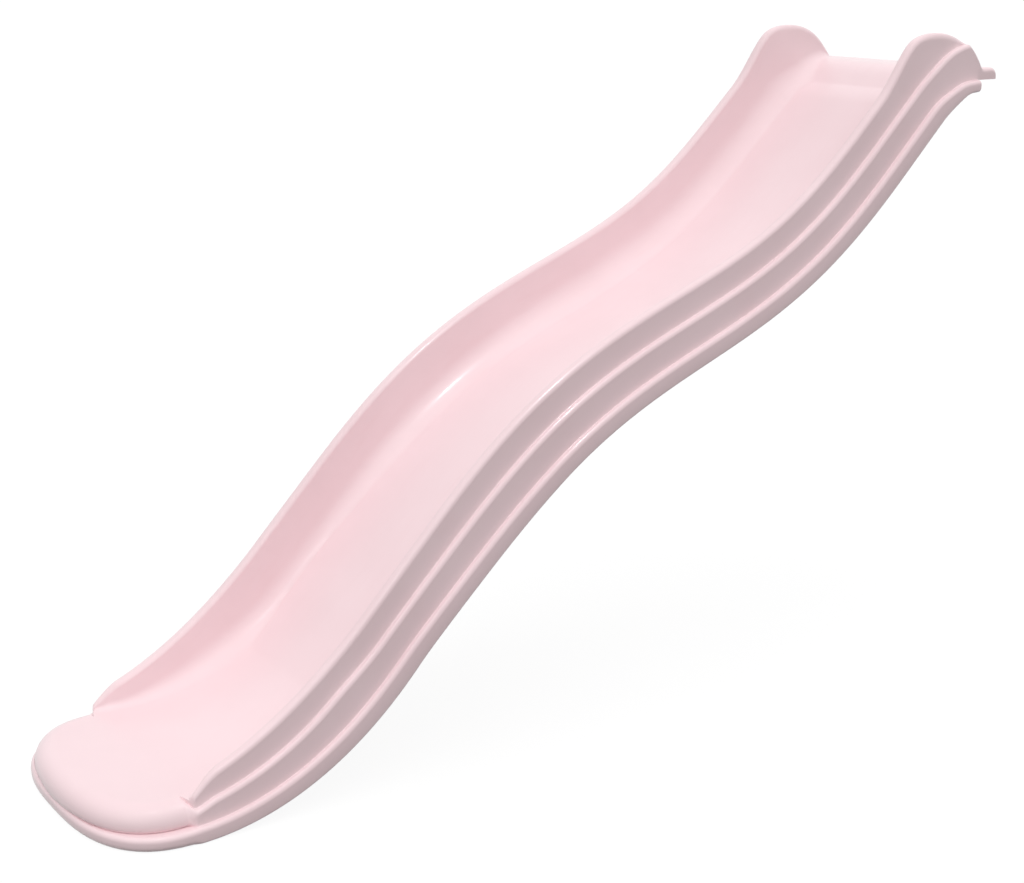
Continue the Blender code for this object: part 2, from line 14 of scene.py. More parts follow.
import bmesh
import bpy
import numpy as np
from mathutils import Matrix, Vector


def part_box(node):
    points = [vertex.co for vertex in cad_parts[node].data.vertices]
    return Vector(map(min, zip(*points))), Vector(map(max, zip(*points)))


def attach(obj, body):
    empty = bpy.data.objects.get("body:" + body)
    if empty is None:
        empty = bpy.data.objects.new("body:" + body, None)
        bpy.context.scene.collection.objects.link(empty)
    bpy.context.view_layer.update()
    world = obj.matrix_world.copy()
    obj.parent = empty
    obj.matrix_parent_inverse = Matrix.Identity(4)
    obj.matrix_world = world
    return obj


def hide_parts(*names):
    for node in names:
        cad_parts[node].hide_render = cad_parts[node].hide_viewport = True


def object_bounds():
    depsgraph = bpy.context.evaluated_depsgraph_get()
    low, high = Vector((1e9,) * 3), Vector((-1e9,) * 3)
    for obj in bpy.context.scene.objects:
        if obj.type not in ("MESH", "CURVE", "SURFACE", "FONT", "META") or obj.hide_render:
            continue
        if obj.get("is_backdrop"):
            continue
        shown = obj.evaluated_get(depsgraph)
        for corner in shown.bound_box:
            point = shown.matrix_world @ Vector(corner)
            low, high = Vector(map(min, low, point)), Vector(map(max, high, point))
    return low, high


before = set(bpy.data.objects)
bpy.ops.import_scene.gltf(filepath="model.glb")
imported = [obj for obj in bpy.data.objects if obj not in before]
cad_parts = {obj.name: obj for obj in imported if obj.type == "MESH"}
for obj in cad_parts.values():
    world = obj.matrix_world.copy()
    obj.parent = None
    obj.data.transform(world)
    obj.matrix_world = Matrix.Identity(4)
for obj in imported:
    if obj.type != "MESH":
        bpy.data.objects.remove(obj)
CAD_BOX = [list(corner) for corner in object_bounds()]
print("CAD nodes:", sorted(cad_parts))

# %% [markdown]
# ## The bed line
#
# Someone who slides feels one line: level on the run-out pad, steep, gentler over the hump, steep
# again, and round the crest onto the level lip. It could be drawn as a curve by hand. Here it is a
# formula for how steep the line is at each length along it, because adding up the steps of that
# slope gives a smooth line of exactly the right length. All other heights are set off square to it.

# %% The bed line from the foot to the lip
FOOT_RADIUS = 0.555
LOWER_PITCH = math.radians(46.0)
LOWER_STRAIGHT = 0.175
HUMP_FALL = 0.645
HUMP_PITCH = math.radians(21.5)
HUMP_RISE = 0.600
UPPER_PITCH = math.radians(44.5)
UPPER_STRAIGHT = 0.194
CREST_RADIUS = 0.090
LIP_REACH = 0.054
LIP_DEPTH = 0.023

FOOT_TOP = FOOT_RADIUS * LOWER_PITCH
FALL_TOP = FOOT_TOP + LOWER_STRAIGHT
HUMP_TOP = FALL_TOP + HUMP_FALL
RISE_TOP = HUMP_TOP + HUMP_RISE
CREST_START = RISE_TOP + UPPER_STRAIGHT
CREST_END = CREST_START + CREST_RADIUS * UPPER_PITCH
LIP_TIP = CREST_END + LIP_REACH
CREST_SOFTNESS = 0.148 * (CREST_END - CREST_START)


def share(s, start, end):
    """How far s has gone from start to end, kept between 0 and 1."""
    return np.clip((s - start) / (end - start), 0.0, 1.0)


def smooth(s, start, end):
    """A soft step: with u the share of the way, 3 u squared less 2 u cubed."""
    u = share(s, start, end)
    return u * u * (3.0 - 2.0 * u)


def mix(a, b, u):
    """a where u is 0 and b where u is 1."""
    return a + (b - a) * u


def lower_of(a, b, blend):
    """The smaller of a and b, with the corner between them rounded over about the blend."""
    return 0.5 * (a + b - np.sqrt((a - b) ** 2 + blend**2))


def pitch(s):
    """The slope angle: it grows evenly round the foot, and eases by half a cosine wave at the hump.

    Over the crest it falls by a soft step. That is longer than an even bend by a share which keeps
    the line on both sides of it where the even bend would.
    """
    foot = LOWER_PITCH * share(s, 0.0, FOOT_TOP)
    fall = (LOWER_PITCH - HUMP_PITCH) * (1.0 - np.cos(np.pi * share(s, FALL_TOP, HUMP_TOP))) / 2.0
    rise = (UPPER_PITCH - HUMP_PITCH) * (1.0 - np.cos(np.pi * share(s, HUMP_TOP, RISE_TOP))) / 2.0
    crest = UPPER_PITCH * smooth(s, CREST_START - CREST_SOFTNESS, CREST_END + CREST_SOFTNESS)
    return foot - fall + rise - crest


def bed_line():
    """Places along the line: the running sums of each step's cosine and sine, from the lip's seat."""
    s = np.linspace(0.0, LIP_TIP, 2200)
    middle = pitch((s[1:] + s[:-1]) / 2.0)
    y = np.concatenate([[0.0], np.cumsum(np.cos(middle) * np.diff(s))])
    z = np.concatenate([[0.0], np.cumsum(np.sin(middle) * np.diff(s))])
    seat_y = np.interp(CREST_END, s, y) + LIP_REACH / 2.0
    seat_z = np.interp(CREST_END, s, z) - LIP_DEPTH
    return s, y - seat_y, z - seat_z


BED_S, BED_Y, BED_Z = bed_line()
print(f"bed line: {LIP_TIP * 1000:.0f} mm long, falling {(BED_Z[-1] - BED_Z[0]) * 1000:.0f} mm")

# %% [markdown]
# ## The heights of the edges along the slide
#
# The side of the real slide has three bands, one below the other, and each stands out a little more
# than the one above. Their edges run nearly level with the bed, and all come down to the run-out pad
# at the foot. Each edge is one formula of the length along the bed line, so that every section
# between the foot and the lip has its heights from the same few sizes.

# %% Edges of the side bands, as heights above the bed line
RIM_HALF_WIDTH = 0.231
TOP_NARROWING = 0.003
NARROWING_LENGTH = 0.300
RIM_HEIGHT = 0.112
EAR_HEIGHT = 0.135
EAR_LENGTH = 0.159
EAR_BACK_SLOPE = 1.60
EAR_BACK_START = 0.016
EAR_ROUNDING = 0.024
UPPER_LEDGE_HEIGHT = 0.0635
UPPER_LEDGE_AT_EAR = 0.052
SEAM_HEIGHT = 0.0135
UNDERSIDE_DEPTH = 0.0236
HUMP_DROP = 0.0118
DROP_GROWTH = 0.250
DROP_EASING = 0.350
DROP_KEPT = 0.35
SEAT_RELIEF = 0.0008
RELIEF_START = 0.003
RELIEF_END = 0.006
LEVELLING_START = 0.080
LEVELLING_END = 0.010
END_WALL_DEPTH = 0.046
WALL_TAPER = 0.430
WALL_EARLY = 0.24
FRONT_START = 0.012
FRONT_END = 0.043
FRONT_POWER = 0.60
LEDGE_START = 0.020
LEDGE_SLOPE = 0.21
LEDGE_DIP = 0.006
LEDGE_DIP_START = 0.030
LEDGE_DIP_END = 0.010
LEDGE_BLEND = 0.008
SEAM_TAPER = 0.475
SEAM_BLEND = 0.080
BOTTOM_TAPER = 0.490
BOTTOM_BLEND = 0.030
PAD_SEAM_DEPTH = 0.0410
PAD_DEPTH = 0.0670


def rim_height(s):
    """The wall's top: a long quarter sine wave times a short steep one, and a soft step to the ear.

    Behind the ear a straight line falls to the lip. The lower of both counts, its corner rounded.
    """
    rise = np.sin(math.pi / 2.0 * share(s, -WALL_EARLY * WALL_TAPER, WALL_TAPER))
    front = np.sin(math.pi / 2.0 * share(s, -FRONT_START, FRONT_END)) ** FRONT_POWER
    ear = (EAR_HEIGHT - RIM_HEIGHT) * smooth(s, CREST_START - EAR_LENGTH, CREST_START)
    back = EAR_BACK_SLOPE * (CREST_END + EAR_BACK_START - s)
    return np.maximum(lower_of(RIM_HEIGHT * rise * front + ear, back, EAR_ROUNDING), 0.0)


def half_width(s):
    """Half the width over the walls, which a soft step narrows a little near the top."""
    return RIM_HALF_WIDTH - TOP_NARROWING * smooth(s, CREST_START - NARROWING_LENGTH, CREST_START)


def hump_drop(s):
    """How much lower the bands hang below the bed from the hump on: one soft step less a later one."""
    after = (1.0 - DROP_KEPT) * smooth(s, HUMP_TOP - DROP_EASING, RISE_TOP)
    return HUMP_DROP * (smooth(s, FOOT_TOP, FALL_TOP + DROP_GROWTH) - after)


def upper_ledge_height(s):
    """The upper band's lower edge: a straight climb from the pad, blended into a level run."""
    at_crest = smooth(s, CREST_START - LEVELLING_START, CREST_END)
    side = mix(UPPER_LEDGE_HEIGHT, UPPER_LEDGE_AT_EAR, at_crest)
    side = lower_of(LEDGE_SLOPE * (s - LEDGE_START), side - 0.5 * hump_drop(s), LEDGE_BLEND)
    return np.minimum(side - LEDGE_DIP * smooth(-s, -LEDGE_DIP_START, LEDGE_DIP_END), rim_height(s))


def levelled(side, level, s):
    """A band's edge, brought by a soft step to the level that it has at the lip."""
    return mix(side, level, smooth(s, CREST_START - LEVELLING_START, CREST_END - LEVELLING_END))


def seam_height(s):
    """The middle band's lower edge, where the two skins meet: soft steps between three levels."""
    side = mix(-PAD_SEAM_DEPTH, SEAM_HEIGHT, smooth(s, -SEAM_BLEND, SEAM_TAPER)) - hump_drop(s)
    relief = SEAT_RELIEF * (1.0 - share(s, CREST_END + RELIEF_START, CREST_END + RELIEF_END))
    return levelled(side, relief - LIP_DEPTH, s)


def underside_height(s):
    """The lowest band's lower edge, by the same kind of soft steps."""
    side = mix(-PAD_DEPTH, -UNDERSIDE_DEPTH, smooth(s, -BOTTOM_BLEND, BOTTOM_TAPER)) - hump_drop(s)
    return levelled(side, -END_WALL_DEPTH, s)


for title, where in (("foot", WALL_TAPER), ("hump", HUMP_TOP), ("ear", CREST_START)):
    heights = [f(where) * 1000 for f in (rim_height, upper_ledge_height, seam_height, underside_height)]
    print(f"{title}: rim, ledge, seam and underside at", *(f"{h:.0f}" for h in heights), "mm")

# %% [markdown]
# ## The nose
#
# In front of the walls, the run-out pad closes in a broad rounded nose, seen from above. A circle
# would be too pointed and a box too blunt, so the outline is a superellipse: the same formula as an
# ellipse with a power of 2.75 in place of 2. Places near the edge are set in square to that outline,
# which keeps the pad's rounded edge the same all the way round.

# %% Places in the frame, on the slide and in the nose
LEDGE_WIDTH = 0.012
NOSE_LENGTH = 0.173
NOSE_LEDGE = 0.001
NOSE_INSET = 0.0085
NOSE_POWER = 2.75
CREASE_START = 0.006
CREASE_END = 0.024
EDGE_REACH = 0.28
SMALLEST = 1e-9
AT_TIP = 2e-8
CHUTE_HALF = RIM_HALF_WIDTH + LEDGE_WIDTH


def in_nose(s):
    """How far the side bands have given way to the pad's rounded edge: a soft step at the crease."""
    return smooth(-s, CREASE_START, CREASE_END)


def nose_turn(s):
    """The superellipse's own angle at s, from 0 at the side to a right angle at the tip."""
    return np.arcsin(np.clip(-s / NOSE_LENGTH, 0.0, 1.0) ** (NOSE_POWER / 2.0))


def outline(s, half, length):
    """Superellipse: half cos^(2/p) across and length sin^(2/p) forwards, and its outward direction."""
    c = np.clip(np.cos(nose_turn(s)), SMALLEST, 1.0)
    d = np.clip(np.sin(nose_turn(s)), SMALLEST, 1.0)
    across = c ** (2.0 - 2.0 / NOSE_POWER) / half
    forwards = d ** (2.0 - 2.0 / NOSE_POWER) / length
    size = np.hypot(across, forwards)
    tip = c < AT_TIP
    place = np.where(tip, 0.0, half * c ** (2.0 / NOSE_POWER)), length * d ** (2.0 / NOSE_POWER)
    return place, (np.where(tip, 0.0, across / size), forwards / size)


def in_frame(s, x, n, half, length):
    """Places (s, x, n) as a grid of points: off the bed line, or off the outline where s is negative.

    On the slide, a place is the bed line's point plus n times the bed's normal. In the nose, it is
    the outline's point, set in by its distance from the side, and past the edge zone in proportion.
    """
    s, x, n, half = np.broadcast_arrays(s, x, n, half)
    slope = pitch(s)
    y = np.interp(s, BED_S, BED_Y) - n * np.sin(slope)
    z = np.interp(s, BED_S, BED_Z) + n * np.cos(slope)
    (edge_x, edge_y), (out_x, out_y) = outline(s, half, length)
    reach = EDGE_REACH * half
    inwards = half - np.abs(x)
    part = np.where(inwards < reach, 1.0, np.abs(x) / (half - reach))
    near = np.minimum(inwards, reach)
    nose_x = np.sign(x) * np.maximum(edge_x - near * out_x, 0.0) * part
    nose_y = BED_Y[0] - (edge_y - near * out_y)
    in_front = np.stack([nose_x, nose_y, BED_Z[0] + n], -1)
    return np.where((s < 0.0)[..., None], in_front, np.stack([x, y, z], -1))


tip = in_frame(-NOSE_LENGTH, CHUTE_HALF, 0.0, CHUTE_HALF, NOSE_LENGTH)
print("nose tip at", [round(float(v), 4) for v in tip])

# %% [markdown]
# ## Stations
#
# A smooth plastic surface shows every facet in its reflections, so the sections stand close: about
# 6 mm apart on the long runs, and 1.5 to 3 mm apart where the shape turns quickly, at the walls'
# front ends and at the crest. Round the nose they are evenly spaced along the outline instead.

# %% Lengths along the bed line at which both skins have a section
NOSE_SPACING = 0.004
FRONT_FROM = -0.030
FRONT_TO = 0.060
FRONT_SPACING = 0.0015
RUN_SPACING = 0.0063
CREST_ZONE = 0.114
CREST_SPACING = 0.003
LIP_ZONE = 0.0095


def nose_stations(spacing):
    """Even steps along the outline: its length is added up, and read back at equal parts."""
    turn = np.linspace(0.0, np.pi / 2.0, 4000)
    x = CHUTE_HALF * np.cos(turn).clip(0.0) ** (2.0 / NOSE_POWER)
    y = NOSE_LENGTH * np.sin(turn) ** (2.0 / NOSE_POWER)
    run = np.concatenate([[0.0], np.cumsum(np.hypot(np.diff(x), np.diff(y)))])
    parts = np.linspace(0.0, run[-1], int(run[-1] / spacing) + 1)
    return -np.interp(parts, run, y)


def slide_stations():
    """Stations from the nose's tip to just short of the lip's rounded end."""
    around = nose_stations(NOSE_SPACING)
    crest_from = CREST_START - CREST_ZONE
    runs = [
        around[around < FRONT_FROM],
        np.arange(FRONT_FROM, FRONT_TO - FRONT_SPACING / 2.0, FRONT_SPACING),
        np.arange(FRONT_TO, crest_from - 0.8 * RUN_SPACING, RUN_SPACING),
        np.arange(crest_from, LIP_TIP - LIP_ZONE, CREST_SPACING),
    ]
    return np.unique(np.concatenate(runs))


STATIONS = slide_stations()
print(len(STATIONS), "stations, the first at", round(STATIONS[0], 4), "m")

# %% [markdown]
# ## Making a mesh from grids
#
# A shape here is a grid of places, or two grids joined along their edges. The places go into one
# array, and the faces are pairs of neighbouring rows and columns. Coincident places, such as those
# where the two sides of the nose meet, become one, and then all faces are turned outwards. Each
# place also keeps its length along the slide and its distance across in an attribute, so that a
# finish can follow the wave.

# %% Grid faces, and a mesh from them
SHARP_ANGLE = 35.0
MERGE_WITHIN = 2e-6


def grid_faces(rows, columns, start=0, around=False):
    """Four-sided faces of a grid, counted row by row; around also joins the last column to the first."""
    i, j = np.meshgrid(np.arange(rows - 1), np.arange(columns if around else columns - 1), indexing="ij")
    a = start + i * columns + j
    b = start + i * columns + (j + 1) % columns
    return np.stack([a, b, b + columns, a + columns], -1).reshape(-1, 4).tolist()


def edge_faces(rows, across, start, within):
    """Faces from an outer grid's first and last columns to those of the inner grid that starts later."""
    k = np.arange(rows - 1)
    low = np.concatenate([k * across, (k + 1) * across - 1])
    high = start + np.concatenate([k * within, (k + 1) * within - 1])
    return np.stack([low, low + across, high + within, high], -1).tolist()


def slide_places(*grids):
    """Each place's distance across, length along and height above the bed line, grid after grid."""
    whole = [np.stack(np.broadcast_arrays(x, s[:, None], n), -1) for x, s, n in grids]
    return np.concatenate([grid.reshape(-1, 3) for grid in whole])


def mesh_piece(name, verts, faces, along=None, sharp=SHARP_ANGLE, closed=True):
    """A new object: doubles merged, faces outwards, shaded smooth except at edges past the angle.

    Where a row of places shrinks to a point, merging can leave a slit of no width, which is filled.
    """
    mesh = bpy.data.meshes.new(name)
    mesh.from_pydata(np.asarray(verts, float).tolist(), [], faces)
    if along is not None:
        kept = mesh.attributes.new("slide_place", "FLOAT_VECTOR", "POINT")
        kept.data.foreach_set("vector", np.asarray(along, np.float32).ravel())
    shape = bmesh.new()
    shape.from_mesh(mesh)
    bmesh.ops.remove_doubles(shape, verts=shape.verts, dist=MERGE_WITHIN)
    bmesh.ops.dissolve_degenerate(shape, edges=shape.edges, dist=MERGE_WITHIN / 2.0)
    if closed:
        bmesh.ops.holes_fill(shape, edges=[edge for edge in shape.edges if edge.is_boundary])
    bmesh.ops.recalc_face_normals(shape, faces=shape.faces)
    shape.to_mesh(mesh)
    shape.free()
    made = bpy.data.objects.new(name, mesh)
    bpy.context.scene.collection.objects.link(made)
    shade(made, sharp)
    return made


def shade(piece, sharp):
    """Smooth shading, with edges kept sharp where two faces differ by more than the angle in degrees."""
    piece.data.polygons.foreach_set("use_smooth", np.ones(len(piece.data.polygons), bool))
    piece.data.set_sharp_from_angle(angle=math.radians(sharp))


def cut(piece, cutters, sharp=SHARP_ANGLE):
    """Takes the cutters out of the piece, keeps the result as its mesh and removes the cutters."""
    for cutter in cutters:
        modifier = piece.modifiers.new(cutter.name, "BOOLEAN")
        modifier.operation = "DIFFERENCE"
        modifier.solver = "EXACT"
        modifier.object = cutter
    seen = piece.evaluated_get(bpy.context.evaluated_depsgraph_get())
    whole = piece.data
    piece.data = bpy.data.meshes.new_from_object(seen)
    piece.data.name = piece.name
    piece.modifiers.clear()
    bpy.data.meshes.remove(whole)
    for cutter in cutters:
        bpy.data.objects.remove(cutter, do_unlink=True)
    shade(piece, sharp)


def report(piece):
    """Prints a piece's size and how many triangles it has."""
    piece.data.calc_loop_triangles()
    co = np.empty(len(piece.data.vertices) * 3, np.float32)
    piece.data.vertices.foreach_get("co", co)
    size = np.ptp(co.reshape(-1, 3), axis=0) * 1000
    count = len(piece.data.loop_triangles)
    print(f"{piece.name}: {size[0]:.1f} x {size[1]:.1f} x {size[2]:.1f} mm, {count} triangles")


# %% [markdown]
# ## The chute
#
# The upper skin is a moulded section carried along the bed line: from its lower edge up the middle
# band, over a rounded ledge, up the wall, over the thick rolled rim, down inside and round a hollow
# fillet onto the flat bed. It could be swept with a curve, but its widths and heights all change on
# the way. So the section is worked out for every station at once, as whole arrays: one row for each
# station and one column for each place across.

# %% One section of the chute, at every station
SKIN = 0.0035
RIM_THICKNESS = 0.025
RIM_RADIUS = 0.010
LEDGE_RADIUS = 0.009
NOSE_EDGE_WIDTH = 0.038
NOSE_EDGE_HEIGHT = 0.034
BAND_ROUND = 0.009
WALL_DRAFT = 0.14
BAND_DRAFT = 0.001
CORNER_RADIUS = 0.0025
SEAM_RADIUS = 0.0020
SEAM_SINK = 0.0005
SEAM_FADE = 0.020
LEDGE_KEPT = 0.002
ROUND_SHARE = 0.45
EDGE_LAG = 0.6
FRONT_THINNING = 0.70
FRONT_THIN_END = 0.080
NOSE_TUCK = 0.0055
NOSE_TUCK_HEIGHT = 0.0110
FRONT_FILLET = 0.018
LOWER_FILLET = 0.052
UPPER_FILLET = 0.070
CREST_FILLET = 0.022
FRONT_FILLET_END = 0.280
FILLET_WIDENING = (0.950, 1.450)
CREST_FILLET_START = 0.100
FILLET_BLEND = 0.006
BED_STEPS = 7
ROUND_STEPS = 9
FILLET_STEPS = 14


def quarter(x, n, width, height, steps):
    """A quarter ellipse from its upright end to its level end: x - w(1 - cos t), n - h(1 - sin t)."""
    t = np.linspace(0.0, np.pi / 2.0, steps + 1)
    return x - width * (1.0 - np.cos(t)), n - height * (1.0 - np.sin(t))


def hollow(x, n, width, height, steps):
    """A hollow quarter from a level shelf up onto a wall: x + w(1 - sin t), n + h(1 - cos t)."""
    t = np.linspace(0.0, np.pi / 2.0, steps + 1)
    return x + width * (1.0 - np.sin(t)), n + height * (1.0 - np.cos(t))


def mirrored(x, n):
    """The right half of every section, and then its mirror image from the middle to the left edge."""
    return np.concatenate([x, -x[:, -2::-1]], 1), np.concatenate([n, n[:, -2::-1]], 1)


def bed_fillet(s):
    """The fillet between bed and wall: tight at the walls' front, wide on the way, tight at the crest."""
    side = mix(LOWER_FILLET, UPPER_FILLET, smooth(s, *FILLET_WIDENING))
    side = mix(FRONT_FILLET, side, smooth(s, 0.0, FRONT_FILLET_END))
    return mix(side, CREST_FILLET, smooth(s, CREST_START - CREST_FILLET_START, CREST_END - LEVELLING_END))


def chute_across(s, inset, round_steps, fillet_steps):
    """Sections of the chute's right half, from its lower edge to its middle, as arrays of x and n.

    Each is a run of rounds: the hollow at the seam, which tucks in under the pad, the ledge's round,
    the hollow above the ledge, the rim's outer and inner rounds and the fillet to the bed. Where the
    rim is steep, its rounds reach down by the root of 1 plus the slope squared times more, so they
    stay round square to it. An inset gives the inner face.
    """
    s = s[:, None]
    nose = in_nose(s)
    rim = np.minimum(rim_height(s), rim_height(s + EDGE_LAG * inset)) - inset
    ledge = np.minimum((1.0 - nose) * upper_ledge_height(s) - inset, rim)
    ledge_round = mix(LEDGE_RADIUS, NOSE_EDGE_WIDTH, nose) - 0.5 * inset
    ledge_drop = mix(LEDGE_RADIUS, NOSE_EDGE_HEIGHT, nose) - 0.5 * inset
    set_in = NOSE_INSET * nose * np.cos(nose_turn(s))
    side = half_width(s) + LEDGE_WIDTH - set_in - inset
    wall = np.minimum(half_width(s) - inset, side - ledge_round - LEDGE_KEPT)
    before = 1.0 - share(s, -FRONT_START, FRONT_THIN_END)
    thickness = RIM_THICKNESS * (1.0 - FRONT_THINNING * (1.0 - np.sqrt(1.0 - before**2)))
    inner = wall - thickness + 2.0 * inset
    rim_round = np.minimum(RIM_RADIUS - inset, ROUND_SHARE * (wall - BAND_DRAFT - inner))
    steep = np.hypot(1.0, np.gradient(rim[:, 0], s[:, 0]))[:, None]
    outer_drop = np.minimum(rim_round * steep, np.maximum(rim - ledge, 0.0))
    inner_drop = np.minimum(rim_round * steep, ROUND_SHARE * (rim + inset))
    fillet = bed_fillet(s) + inset
    fillet_drop = np.maximum(lower_of(fillet, rim + inset - inner_drop, FILLET_BLEND), 0.0)
    foot = inner - WALL_DRAFT * (rim + inset - inner_drop - fillet_drop)
    on_seam = 1.0 - share(s, CREST_END - SEAM_FADE, CREST_END)
    _, (out_x, out_y) = outline(s, CHUTE_HALF, NOSE_LENGTH)
    band_width = np.where(s < 0.0, LEDGE_WIDTH * out_x + NOSE_LEDGE * out_y + set_in, LEDGE_WIDTH)
    groove = BAND_ROUND - np.sqrt(BAND_ROUND**2 - np.clip(BAND_ROUND - band_width, 0.0, BAND_ROUND) ** 2)
    low = seam_height(s) - SEAM_SINK * on_seam - groove
    seam, hollow_steps = (SEAM_RADIUS, 4) if inset == 0.0 else (0.0, 1)
    seam_round = mix(seam, -NOSE_TUCK, nose) * on_seam
    seam_rise = mix(seam, NOSE_TUCK_HEIGHT, nose) * on_seam
    corner = np.minimum(CORNER_RADIUS, 0.4 * np.maximum(rim - ledge - outer_drop, 0.0))
    runs = [
        hollow(side, low, seam_round, seam_rise, hollow_steps),
        quarter(side, ledge, ledge_round, ledge_drop, round_steps),
        hollow(wall, ledge, corner, corner, hollow_steps),
        quarter(wall - BAND_DRAFT, rim, rim_round, outer_drop, round_steps),
        [v[:, ::-1] for v in quarter(inner, rim, -rim_round, inner_drop, round_steps)],
        quarter(foot, -inset, fillet, -fillet_drop, fillet_steps),
    ]
    x = np.concatenate([run[0] for run in runs], 1)
    n = np.concatenate([run[1] for run in runs], 1)
    bed = x[:, -1:] * np.linspace(1.0, 0.0, BED_STEPS + 1)[1:]
    return np.concatenate([x, bed], 1), np.concatenate([n, np.repeat(n[:, -1:], BED_STEPS, 1)], 1)


sample_x, _ = chute_across(STATIONS, 0.0, ROUND_STEPS, FILLET_STEPS)
print("places in half a section:", sample_x.shape[1])

# %% [markdown]
# The lip is level and, other than in the CAD model, solid, with two recesses for the screw caps. So
# the inner face turns into its flat underside just before the crest's end. The far edge is rounded
# over by lowering the last few sections. The recesses are Boolean cuts, because a cylinder through a
# plate is what a Boolean does best, and no grid line would follow its round edge.

# %% The chute's mesh
SCREW_SPREAD = 0.130
SCREW_HOLE_RADIUS = 0.0036
CAP_RADIUS = 0.0122
RECESS_DEPTH = 0.0100
RECESS_ROUND = 0.0008
CUTTER_HEIGHTS = (-0.010, 0.050)
FIT = 0.0003
LIP_EDGE_RADIUS = 0.008
FLOOR_START = CREST_END - 0.025
SIDES = (("left", -SCREW_SPREAD), ("right", SCREW_SPREAD))


def rounded_end(start, radius, steps):
    """Stations up to a rounded end, and how far each is lowered: the radius less the circle's height."""
    t = np.linspace(0.0, np.pi / 2.0, steps + 1)
    return start + radius * np.sin(t), radius * (1.0 - np.cos(t))


def turned(name, profile, centre, up=(0.0, 0.0, 1.0), steps=48, sharp=SHARP_ANGLE):
    """A solid of revolution: each (radius, height) place times a circle round the axis through centre.

    A profile starts and ends on the axis, or its last place is its first again and it is a ring.
    """
    radius, height = np.array(profile, float).T[:, :, None]
    axis = np.array(up, float) / np.linalg.norm(up)
    side = np.array([1.0, 0.0, 0.0])
    t = np.linspace(0.0, 2.0 * np.pi, steps, endpoint=False)[None, :, None]
    round_ = np.cos(t) * side + np.sin(t) * np.cross(axis, side)
    verts = np.array(centre) + radius[..., None] * round_ + height[..., None] * axis
    faces = grid_faces(len(profile), steps, around=True)
    return mesh_piece(name, verts.reshape(-1, 3), faces, sharp=sharp)


def chute():
    """Outer and inner grids at the same stations, joined along both lower edges and across the lip.

    No outer place is left lower than the section's lower edge, which keeps the lip's rounded end
    above its underside. On the steep stretches that edge stands higher than the CAD bed, so there
    the limit also lifts the bed, by up to 13 mm. This is a known fault of the shape.
    """
    last = STATIONS[-1]
    end_s, end_drop = rounded_end(last, LIP_TIP - last, 7)
    end_drop = end_drop * LIP_EDGE_RADIUS / (LIP_TIP - last)
    s = np.concatenate([STATIONS, end_s[1:]])
    drop = np.concatenate([np.zeros(len(STATIONS)), end_drop[1:]])[:, None]
    x, n = chute_across(s, 0.0, ROUND_STEPS, FILLET_STEPS)
    n = np.maximum(n - drop, n[:, :1])
    outer_x, outer_n = mirrored(x, n)
    in_x, in_n = chute_across(s, SKIN, 2, 4)
    floor = (s >= FLOOR_START)[:, None]
    in_n = np.where(floor, n[:, :1], in_n)
    in_x, in_n = mirrored(in_x, in_n)
    outer = in_frame(s[:, None], outer_x, outer_n, CHUTE_HALF, NOSE_LENGTH)
    inner = in_frame(s[:, None], in_x, in_n, CHUTE_HALF, NOSE_LENGTH)
    rows, across, within = len(s), outer_x.shape[1], in_x.shape[1]
    start = rows * across
    faces = grid_faces(rows, across) + grid_faces(rows, within, start)
    faces += edge_faces(rows, across, start, within)
    last_inner = range(start + (rows - 1) * within, start + rows * within)
    faces.append([*range((rows - 1) * across, start), *reversed(last_inner)])
    verts = np.concatenate([outer.reshape(-1, 3), inner.reshape(-1, 3)])
    along = slide_places((outer_x, s, outer_n), (in_x, s, in_n))
    return mesh_piece("chute_skin", verts, faces, along)


def recess_cutter(x):
    """A stepped cutter: the screw's hole, the cap's recess, and a small round at the recess's mouth."""
    floor, wide = LIP_DEPTH - RECESS_DEPTH, CAP_RADIUS + FIT
    low, high = CUTTER_HEIGHTS
    profile = [(0.0, low), (SCREW_HOLE_RADIUS, low), (SCREW_HOLE_RADIUS, floor), (wide, floor)]
    profile += zip(*quarter(wide, LIP_DEPTH, -RECESS_ROUND, RECESS_ROUND, 4))
    profile += [(wide + RECESS_ROUND, high), (0.0, high)]
    return turned("recess", profile, (x, 0.0, 0.0), steps=64)


chute_skin = chute()
cut(chute_skin, [recess_cutter(x) for _, x in SIDES])
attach(chute_skin, "root")
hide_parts("chute_shell")
report(chute_skin)

# %% [markdown]
# ## The underside
#
# The lower skin is an open tray. Its flange carries the chute's edge, and the rounded outer corner
# of that flange is the lowest bright line on the slide's side. Seven channels run across underneath
# and rise to the bed, which they stiffen. The tray is two grids again, an outer and an inner face,
# and the channels are a height that the bottom takes on between their stations.

# %% The underside's mesh
MEETING_GAP = 0.0003
SEAM_FLANGE = 0.029
BAND_EDGE_RADIUS = 0.005
NOSE_UNDER_RADIUS = 0.011
CHANNEL_COUNT = 7
CHANNEL_FIRST = 0.380
CHANNEL_LAST = 1.880
CHANNEL_WIDTH = 0.060
CHANNEL_SLOPE = 0.016
CHANNEL_HALF_LENGTH = 0.190
FLANGE_STEPS = 8


def channel(s, widen):
    """How far a channel has risen at s: a soft step of the distance into the nearest one."""
    middle = np.linspace(CHANNEL_FIRST, CHANNEL_LAST, CHANNEL_COUNT)
    inside = CHANNEL_WIDTH / 2.0 + widen - np.abs(s[..., None] - middle).min(-1)
    return smooth(inside, 0.0, CHANNEL_SLOPE)


